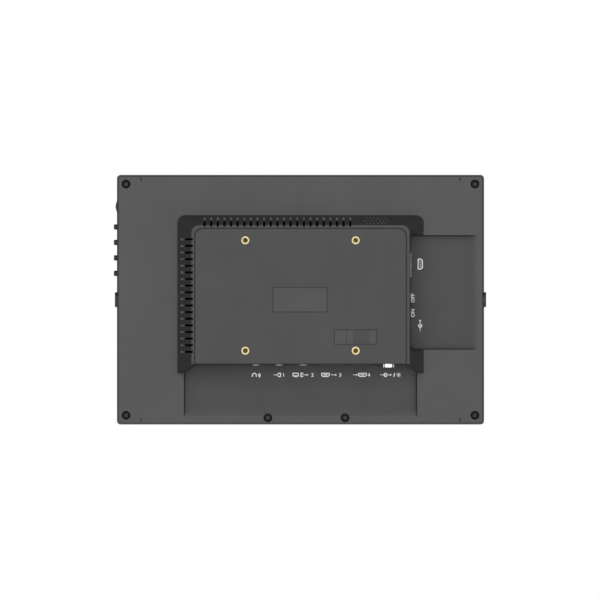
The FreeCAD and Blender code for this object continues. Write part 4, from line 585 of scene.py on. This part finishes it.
def new_tree(name, **sizes):
    """An empty node tree with inputs for its sizes, its turn and its material."""
    tree = bpy.data.node_groups.new(name, "GeometryNodeTree")
    kinds = {"Geometry": "Geometry", **sizes, "Turn": "Vector", "Material": "Material"}
    for label, kind in kinds.items():
        tree.interface.new_socket(label, in_out="INPUT", socket_type=f"NodeSocket{kind}")
    tree.interface.new_socket("Geometry", in_out="OUTPUT", socket_type="NodeSocketGeometry")
    start = tree.nodes.new("NodeGroupInput").outputs
    end = tree.nodes.new("NodeGroupOutput").inputs
    return tree, start, end


def set_out(tree, start, end, shape):
    """Instances of a shape on the points, turned, realized and given their material."""
    turn = tree.nodes.new("FunctionNodeEulerToRotation")
    wire(tree, start["Turn"], turn.inputs[0])
    placed = tree.nodes.new("GeometryNodeInstanceOnPoints")
    wire(tree, start["Geometry"], placed.inputs["Points"])
    wire(tree, shape, placed.inputs["Instance"])
    wire(tree, turn.outputs[0], placed.inputs["Rotation"])
    real = tree.nodes.new("GeometryNodeRealizeInstances")
    wire(tree, placed.outputs[0], real.inputs[0])
    coated = tree.nodes.new("GeometryNodeSetMaterial")
    wire(tree, real.outputs[0], coated.inputs["Geometry"])
    wire(tree, start["Material"], coated.inputs["Material"])
    wire(tree, coated.outputs[0], end["Geometry"])


def make_thread_tree():
    """A thread's ridge: a three-sided profile swept along a helix."""
    tree, start, end = new_tree(
        "thread_ridge", Radius="Float", Pitch="Float", Turns="Float", Ridge="Float",
    )
    helix = tree.nodes.new("GeometryNodeCurveSpiral")
    helix.inputs["Resolution"].default_value = 20
    wire(tree, start["Turns"], helix.inputs["Rotations"])
    wire(tree, start["Radius"], helix.inputs["Start Radius"])
    wire(tree, start["Radius"], helix.inputs["End Radius"])
    wire(tree, product(tree, start["Turns"], start["Pitch"]), helix.inputs["Height"])
    profile = tree.nodes.new("GeometryNodeCurvePrimitiveCircle")
    profile.inputs["Resolution"].default_value = 3
    wire(tree, start["Ridge"], profile.inputs["Radius"])
    swept = tree.nodes.new("GeometryNodeCurveToMesh")
    wire(tree, helix.outputs[0], swept.inputs["Curve"])
    wire(tree, profile.outputs[0], swept.inputs["Profile Curve"])
    swept.inputs["Fill Caps"].default_value = True
    set_out(tree, start, end, swept.outputs[0])
    return tree


def make_disc_tree():
    """Flat discs, such as the closed ends of blind inserts, one on each point."""
    tree, start, end = new_tree("disc_row", Radius="Float", Thick="Float")
    disc = tree.nodes.new("GeometryNodeMeshCylinder")
    disc.inputs["Vertices"].default_value = 32
    wire(tree, start["Radius"], disc.inputs["Radius"])
    wire(tree, start["Thick"], disc.inputs["Depth"])
    set_out(tree, start, end, disc.outputs["Mesh"])
    return tree


def make_bar_tree():
    """A row of equal bars, such as contact strips or grip ribs, one on each point."""
    tree, start, end = new_tree("bar_row", Size="Vector")
    bar = tree.nodes.new("GeometryNodeMeshCube")
    wire(tree, start["Size"], bar.inputs["Size"])
    set_out(tree, start, end, bar.outputs[0])
    return tree


THREAD = make_thread_tree()
BARS = make_bar_tree()
DISCS = make_disc_tree()
UNTURNED = (0.0, 0.0, 0.0)
QUARTER = math.pi / 2


def recalculated(mesh):
    """The mesh with its doubles merged and its faces turned outwards."""
    build = bmesh.new()
    build.from_mesh(mesh)
    bmesh.ops.remove_doubles(build, verts=build.verts, dist=MERGE)
    bmesh.ops.recalc_face_normals(build, faces=build.faces)
    build.to_mesh(mesh)
    build.free()
    return mesh


def set_row(name, points, tree, material, slot, turn=UNTURNED, body=HUB, **sizes):
    """A piece that a tree grows from points, kept as one plain mesh."""
    mesh = grown(name, points, tree, {**sizes, "Turn": turn, "Material": material})
    keep(name, recalculated(mesh) if tree is THREAD else mesh, material, body)


# Threads in the inserts and in the side sockets

INSERT_OFF = 37.5 * MM
INSERT_THREAD = {"Radius": 1.66 * MM, "Pitch": 0.7 * MM, "Turns": 5.5, "Ridge": 0.2 * MM}
INSERT_THREAD_START = 0.4 * MM
INSERT_END = {"Radius": 1.64 * MM, "Thick": 0.2 * MM}
INSERT_END_START = 0.11 * MM
YOKE_THREAD = {"Radius": 2.58 * MM, "Pitch": 1.27 * MM, "Turns": 5.0, "Ridge": 0.42 * MM}
YOKE_THREAD_START = 0.9 * MM
YOKE_END = {"Radius": 2.58 * MM, "Thick": 0.2 * MM}
YOKE_END_BACK = 0.7 * MM

# The threads and closed ends inside the inserts carry painted shade in their dark brass
insert_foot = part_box("mount_inserts")[0].y
axes = [(x, z) for x in (-INSERT_OFF, INSERT_OFF) for z in (-INSERT_OFF, INSERT_OFF)]
set_row(
    "insert_threads", [(x, insert_foot + INSERT_THREAD_START, z) for x, z in axes], THREAD,
    SHADED_BRASS, "brass", turn=(-QUARTER, 0.0, 0.0), **INSERT_THREAD,
)
set_row(
    "insert_ends", [(x, insert_foot + INSERT_END_START, z) for x, z in axes], DISCS,
    SHADED_BRASS, "brass", turn=(QUARTER, 0.0, 0.0), **INSERT_END,
)

for name, sense in (("left", 1), ("right", -1)):
    low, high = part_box(f"yoke_socket_{name}")
    middle = (low + high) / 2
    begin = (low.x if sense > 0 else high.x) + sense * YOKE_THREAD_START
    set_row(
        f"yoke_thread_{name}", [(begin, middle.y, middle.z)], THREAD,
        BLACK_STEEL, "black_steel", turn=(0.0, sense * QUARTER, 0.0), **YOKE_THREAD,
    )
    set_row(
        f"yoke_end_{name}", [(begin - sense * YOKE_END_BACK, middle.y, middle.z)], DISCS,
        BLACK_STEEL, "black_steel", turn=(0.0, QUARTER, 0.0), **YOKE_END,
    )

# Cloth in the speaker holes, level with their lips

GRILLE_X, GRILLE_Z = -51.35, 50.9
GRILLE_ROWS = ((-1, 6), (0, 7), (1, 6))
GRILLE_PITCH, GRILLE_RISE = 2.6, 1.8
CLOTH_DISC = {"Radius": 0.73 * MM, "Thick": 0.2 * MM}
LIP_OFF = 0.95 * MM
OUTSIDE = 10 * MM

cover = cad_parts["rear_cover"]
spots = []
for rank, count in GRILLE_ROWS:
    z = (GRILLE_Z + rank * GRILLE_RISE) * MM
    for n in range(count):
        x = (GRILLE_X + (n - (count - 1) / 2) * GRILLE_PITCH) * MM
        lip = cover.ray_cast((x, OUTSIDE, z + LIP_OFF), (0, -1, 0))[1]
        spots.append((x, lip.y - CLOTH_DISC["Thick"] / 2, z))
set_row("speaker_cloth", spots, DISCS, CLOTH, "cone", turn=(QUARTER, 0.0, 0.0), **CLOTH_DISC)

# Contact strips on the tongues of the flat sockets

CONTACT_SIZE = (0.5 * MM, 0.12 * MM, 6.4 * MM)
CONTACT_STEP = 1.1 * MM
CONTACT_LIFT = 0.02 * MM

low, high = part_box("digital_tongues")
strips = []
for socket in ("digital_out_socket", "digital_in_socket"):
    left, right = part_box(socket)
    middle = (left.x + right.x) / 2
    for step in range(-4, 5):
        for face in (low.y - CONTACT_LIFT, high.y + CONTACT_LIFT):
            strips.append((middle + step * CONTACT_STEP, face, (low.z + high.z) / 2))
set_row("socket_contacts", strips, BARS, GOLD, "brass", Size=CONTACT_SIZE)

# Grip ribs on the nose of the power switch

RIB_SIZE = (0.12 * MM, 1.3 * MM, 0.22 * MM)
RIB_LIFT = 0.02 * MM
RIB_PLACES = (0.2, 0.4, 0.6, 0.8)

low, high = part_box("power_switch_knob")
ribs = [(low.x - RIB_LIFT, (low.y + high.y) / 2, low.z + (high.z - low.z) * part)
        for part in RIB_PLACES]
set_row("switch_ribs", ribs, BARS, KEYS, "key", body="power_knob", Size=RIB_SIZE)


# Printed signs, drawn in millimetres on the floor of the bays

BAY_DEPTH = 16.0
INK_THICK = 0.04
INK_SINK = 0.01
STROKE = 0.7
FIGURE = 2.4
CAPITAL_SHARE = 0.69
LETTER_WEIGHT = 0.03
ARROW_HEAD = 1.2
ARROW_WING = 0.8
ARROW_HALF = 0.2


class Print:
    """Signs laid flat on a face: drawn in millimetres, right and up as they are read."""

    def __init__(self, depth):
        self.build = bmesh.new()
        self.depth = depth

    def set_place(self, x, z, upright=True):
        self.x, self.z, self.upright = x, z, upright

    def spot(self, right, up, lift):
        if self.upright:
            x, z = self.x - right, self.z + up
        else:
            x, z = self.x + up, self.z + right
        return Vector((x, lift - self.depth, z)) * MM

    def ring(self, outline, lift):
        return [self.build.verts.new(self.spot(u, v, lift)) for u, v in outline]

    def solid(self, outline):
        """A flat plate of ink with the given outline."""
        foot, top = (self.ring(outline, lift) for lift in (-INK_SINK, INK_THICK))
        self.build.faces.new(foot)
        self.build.faces.new(top)
        for n in range(len(outline)):
            m = (n + 1) % len(outline)
            self.build.faces.new((foot[n], foot[m], top[m], top[n]))

    def band(self, inner, outer, closed=True):
        """A plate between two lines of equal length."""
        rings = [
            [self.ring(line, lift) for line in (inner, outer)] for lift in (-INK_SINK, INK_THICK)
        ]
        foot, top = rings
        count = len(inner)
        for n in range(count if closed else count - 1):
            m = (n + 1) % count
            for ring in rings:
                self.build.faces.new((ring[0][n], ring[0][m], ring[1][m], ring[1][n]))
            for side in (0, 1):
                self.build.faces.new((foot[side][n], foot[side][m], top[side][m], top[side][n]))
        if not closed:
            for n in (0, count - 1):
                self.build.faces.new((foot[0][n], foot[1][n], top[1][n], top[0][n]))

    def line(self, path, width, closed=False):
        """A stroke of even width with mitred corners."""
        count = len(path)
        left, right = [], []
        for n, point in enumerate(path):
            ahead = Vector(path[(n + 1) % count]) - Vector(point)
            behind = Vector(point) - Vector(path[n - 1])
            if not closed and n == 0:
                behind = ahead
            if not closed and n == count - 1:
                ahead = behind
            side = (ahead.normalized() + behind.normalized()).normalized()
            across = Vector((-side.y, side.x))
            reach = width / 2 / max(0.5, side.dot(ahead.normalized()))
            left.append(tuple(Vector(point) + across * reach))
            right.append(tuple(Vector(point) - across * reach))
        self.band(left, right, closed)

    def arc(self, centre, radius, begin, end, width, steps=14):
        """A round stroke between two angles in degrees."""
        whole = abs(end - begin) >= 360
        count = steps if whole else steps + 1
        turns = [math.radians(begin + (end - begin) * n / steps) for n in range(count)]
        lines = [
            [(centre[0] + r * math.cos(a), centre[1] + r * math.sin(a)) for a in turns]
            for r in (radius - width / 2, radius + width / 2)
        ]
        self.band(*lines, closed=whole)

    def dot(self, centre, radius, steps=12):
        turns = [2 * math.pi * n / steps for n in range(steps)]
        self.solid([
            (centre[0] + radius * math.cos(a), centre[1] + radius * math.sin(a)) for a in turns
        ])

    def arrow(self, start, length):
        """An arrow that points right, from its tail."""
        u, v = start
        neck = u + length - ARROW_HEAD
        self.solid([
            (u, v - ARROW_HALF), (neck, v - ARROW_HALF), (neck, v - ARROW_WING), (u + length, v),
            (neck, v + ARROW_WING), (neck, v + ARROW_HALF), (u, v + ARROW_HALF),
        ])

    def port(self, centre, long, tall, slope):
        """The outline of a flat socket with two sloping corners."""
        u, v = centre
        left, right, low, high = u - long / 2, u + long / 2, v - tall / 2, v + tall / 2
        self.line([
            (left, high), (left, low + slope), (left + slope, low), (right - slope, low),
            (right, low + slope), (right, high),
        ], STROKE, closed=True)

    def polarity(self, u):
        """Pin and ring of a power inlet, with the poles beside it."""
        self.dot((u, 0), 0.42)
        self.arc((u, 0), 1.1, 45, 315, STROKE)
        self.line([(u + 0.42, 0), (u + 2.5, 0)], STROKE * 0.8)
        self.line([(u - 1.45, 0), (u - 2.3, 0)], STROKE * 0.8)
        self.line([(u + 2.75, 0), (u + 4.05, 0)], STROKE * 0.7)
        for side in (-1, 1):
            self.line([(u + 3.4, side * 0.25), (u + 3.4, side * 0.7)], STROKE * 0.7)
        self.line([(u - 2.55, 0), (u - 3.6, 0)], STROKE * 0.7)

    def words(self, text, right, height=FIGURE):
        """Letters or figures centred on a place."""
        curve = bpy.data.curves.new("letters", "FONT")
        curve.body = text
        curve.size = height / CAPITAL_SHARE
        curve.extrude = INK_THICK / 2
        curve.offset = LETTER_WEIGHT * height
        curve.resolution_u = 4
        curve.align_x = "CENTER"
        holder = bpy.data.objects.new("letters", curve)
        bpy.context.scene.collection.objects.link(holder)
        graph = bpy.context.evaluated_depsgraph_get()
        mesh = bpy.data.meshes.new_from_object(holder.evaluated_get(graph))
        bpy.data.objects.remove(holder)
        for vertex in mesh.vertices:
            u, v, lift = vertex.co
            vertex.co = self.spot(right + u, v - height / 2, lift + INK_THICK / 2)
        self.build.from_mesh(mesh)
        bpy.data.meshes.remove(mesh)

    def done(self, name):
        """Turns the drawn signs into one piece."""
        bmesh.ops.remove_doubles(self.build, verts=self.build.verts, dist=2 * MERGE)
        bmesh.ops.recalc_face_normals(self.build, faces=self.build.faces)
        mesh = bpy.data.meshes.new(name)
        self.build.to_mesh(mesh)
        self.build.free()
        keep(name, mesh, INK)


SIGN_Z = -54.0
EAR_U, EAR_V, EAR_RADIUS, EAR_HALF, EAR_FOOT = -1.2, -0.25, 1.35, 0.4, -1.3
LAMP_U, LAMP_RADIUS, RAY_START, RAY_END = 5.3, 0.62, 0.95, 1.4

signs = Print(BAY_DEPTH)

# Ear jack: a headband with its two cups, and sound
signs.set_place(30.2, SIGN_Z)
signs.arc((EAR_U, EAR_V), EAR_RADIUS, 0, 180, STROKE)
for side in (-1, 1):
    cup = EAR_U + side * EAR_RADIUS
    left, right = cup - EAR_HALF, cup + EAR_HALF
    signs.solid([(left, EAR_FOOT), (right, EAR_FOOT), (right, EAR_V), (left, EAR_V)])
for radius in (0.9, 1.8):
    signs.arc((0.9, -0.3), radius, -50, 50, STROKE, 8)

# First jack: into a box
signs.set_place(14.5, SIGN_Z)
signs.arrow((-4.0, 0), 3.6)
signs.line([(-0.9, 1.1), (0.9, 1.1), (0.9, -1.1), (-0.9, -1.1)], STROKE)
signs.words("1", 3.0)

# Second jack: a screen, and out of a box
signs.set_place(-2.5, SIGN_Z)
signs.line([(-7.6, 1.1), (-4.0, 1.1), (-4.0, -0.7), (-7.6, -0.7)], STROKE, closed=True)
signs.line([(-6.8, -1.3), (-4.8, -1.3)], STROKE * 0.65)
signs.line([(-0.6, 1.1), (-2.2, 1.1), (-2.2, -1.1), (-0.6, -1.1)], STROKE)
signs.arrow((-1.3, 0), 4.2)
signs.words("2", 5.6)

# First flat socket: out
signs.set_place(-21.6, SIGN_Z)
signs.port((-4.6, 0), 5.2, 2.1, 0.8)
signs.line([(-5.9, 0), (-3.3, 0)], STROKE)
signs.arrow((-1.0, 0), 4.2)
signs.words("3", 5.4)

# Second flat socket: in
signs.set_place(-41.6, SIGN_Z)
signs.arrow((-5.8, 0), 3.4)
signs.port((0.6, 0), 5.2, 2.1, 0.8)
signs.line([(-0.7, 0), (1.9, 0)], STROKE)
signs.words("4", 4.9)

# Round socket: power, and a lamp with its rays
signs.set_place(-61.5, SIGN_Z)
signs.polarity(-3.6)
signs.line([(1.9, -1.2), (2.7, 1.2)], STROKE)
signs.dot((LAMP_U, 0), LAMP_RADIUS)
for turn in range(8):
    angle = math.radians(45 * turn)
    signs.line([
        (LAMP_U + reach * math.cos(angle), reach * math.sin(angle))
        for reach in (RAY_START, RAY_END)
    ], STROKE * 0.8)

# Side bay, read from the right: the wide socket, the power inlet and the switch
signs.set_place(-81.5, 21.4, upright=False)
signs.port((0, 0), 6.6, 2.8, 0.9)
for n in range(-1, 2):
    signs.dot((n * 1.5, 0), 0.4, 8)
signs.set_place(-81.4, -20.3, upright=False)
signs.polarity(-0.2)
signs.set_place(-76.4, 0, upright=False)
signs.words("OFF", -1.8)
signs.words("ON", -12.0)
signs.done("printed_signs")


# Stage: floor, background, lamps and camera

FLOOR_Z = -0.36
FLOOR_REACH = 30.0
FLOOR_TONE = (0.86, 0.86, 0.86, 1)
FLOOR_GLOW = 0.72
FADE_START, FADE_END = 0.5, 1.3
AMBIENT = 0.45
REAR_START, REAR_END = 0.6, 0.85


def seen_by_eye(tree, mirrored=1.0):
    """One for what the camera sees, straight or through glass, and mirrored as far as given."""
    path = tree.nodes.new("ShaderNodeLightPath")
    gloss = product(tree, path.outputs["Is Glossy Ray"], mirrored)
    either = math_node(tree, "MAXIMUM", path.outputs["Is Camera Ray"], gloss)
    return math_node(tree, "MAXIMUM", either, path.outputs["Is Transmission Ray"])


def shown_by(tree, factor, first, second):
    """The first shader where the factor is nought, the second where it is one."""
    made = tree.nodes.new("ShaderNodeMixShader")
    for place, start in enumerate((factor, first, second)):
        wire(tree, start, made.inputs[place])
    return made.outputs[0]


def make_floor():
    """Pale matt floor that fades into the white background, and is clear from below."""
    material = bpy.data.materials.new("pale_floor")
    material.use_nodes = True
    tree = material.node_tree
    tree.nodes.clear()
    matt = tree.nodes.new("ShaderNodeBsdfDiffuse").outputs[0]
    matt.node.inputs["Color"].default_value = FLOOR_TONE
    glow = tree.nodes.new("ShaderNodeEmission").outputs[0]
    glow.node.inputs["Strength"].default_value = FLOOR_GLOW
    near = tree.nodes.new("ShaderNodeAddShader")
    wire(tree, matt, near.inputs[0])
    wire(tree, glow, near.inputs[1])
    white = tree.nodes.new("ShaderNodeEmission").outputs[0]
    away = tree.nodes.new("ShaderNodeVectorMath")
    away.operation = "LENGTH"
    wire(tree, object_place(tree), away.inputs[0])
    fade = ramp(tree, away.outputs["Value"], FADE_START, FADE_END)
    seen = shown_by(
        tree, seen_by_eye(tree), matt, shown_by(tree, fade, near.outputs[0], white),
    )
    clear = tree.nodes.new("ShaderNodeBsdfTransparent").outputs[0]
    under = tree.nodes.new("ShaderNodeNewGeometry").outputs["Backfacing"]
    end = tree.nodes.new("ShaderNodeOutputMaterial")
    wire(tree, shown_by(tree, under, seen, clear), end.inputs["Surface"])
    return material


floor_mesh = bpy.data.meshes.new("floor")
floor_mesh.from_pydata(
    [(x * FLOOR_REACH, y * FLOOR_REACH, FLOOR_Z) for x, y in ((-1, -1), (1, -1), (1, 1), (-1, 1))],
    [], [(0, 1, 2, 3)],
)
floor_mesh.materials.append(make_floor())
floor = bpy.data.objects.new("floor", floor_mesh)
bpy.context.scene.collection.objects.link(floor)

world = bpy.data.worlds.new("studio")
bpy.context.scene.world = world
world.use_nodes = True
sky = world.node_tree
sky.nodes.clear()
shades = []
for strength in (AMBIENT, 1.0):
    shade = sky.nodes.new("ShaderNodeBackground")
    shade.inputs["Color"].default_value = (1, 1, 1, 1)
    shade.inputs["Strength"].default_value = strength
    shades.append(shade.outputs[0])
heading = split(sky, sky.nodes.new("ShaderNodeTexCoord").outputs["Generated"])
rear = ramp(sky, heading["Y"], REAR_START, REAR_END)
chosen = shown_by(sky, seen_by_eye(sky, rear), *shades)
wire(sky, chosen, sky.nodes.new("ShaderNodeOutputWorld").inputs["Surface"])


def lamp(name, place, size, power):
    """A square soft lamp that points at the origin."""
    data = bpy.data.lights.new(name, "AREA")
    data.shape = "SQUARE"
    data.size = size
    data.energy = power
    made = bpy.data.objects.new(name, data)
    made.location = place
    aim = Vector((0, 0, 0)) - Vector(place)
    made.rotation_euler = aim.to_track_quat("-Z", "Y").to_euler()
    bpy.context.scene.collection.objects.link(made)
    return made


lamp("key", place=(0.0, 2.4, 0.4), size=6.0, power=110.0)
lamp("fill", place=(0.6, -2.2, 0.9), size=3.6, power=50.0).visible_glossy = False

FIELD = 407.7 * MM
CAMERA_X, CAMERA_Z = 0.34 * MM, -3.06 * MM

camera_data = bpy.data.cameras.new("camera")
camera_data.lens = 1000.0
camera_data.sensor_width = 36.0
camera_data.clip_start = 0.1
camera_data.clip_end = 100.0
away = FIELD * camera_data.lens / camera_data.sensor_width
camera = bpy.data.objects.new("camera", camera_data)
camera.location = (CAMERA_X, away, CAMERA_Z)
camera.rotation_euler = (QUARTER, 0, math.pi)
bpy.context.scene.collection.objects.link(camera)
bpy.context.scene.camera = camera
bpy.context.scene.view_settings.view_transform = "Standard"
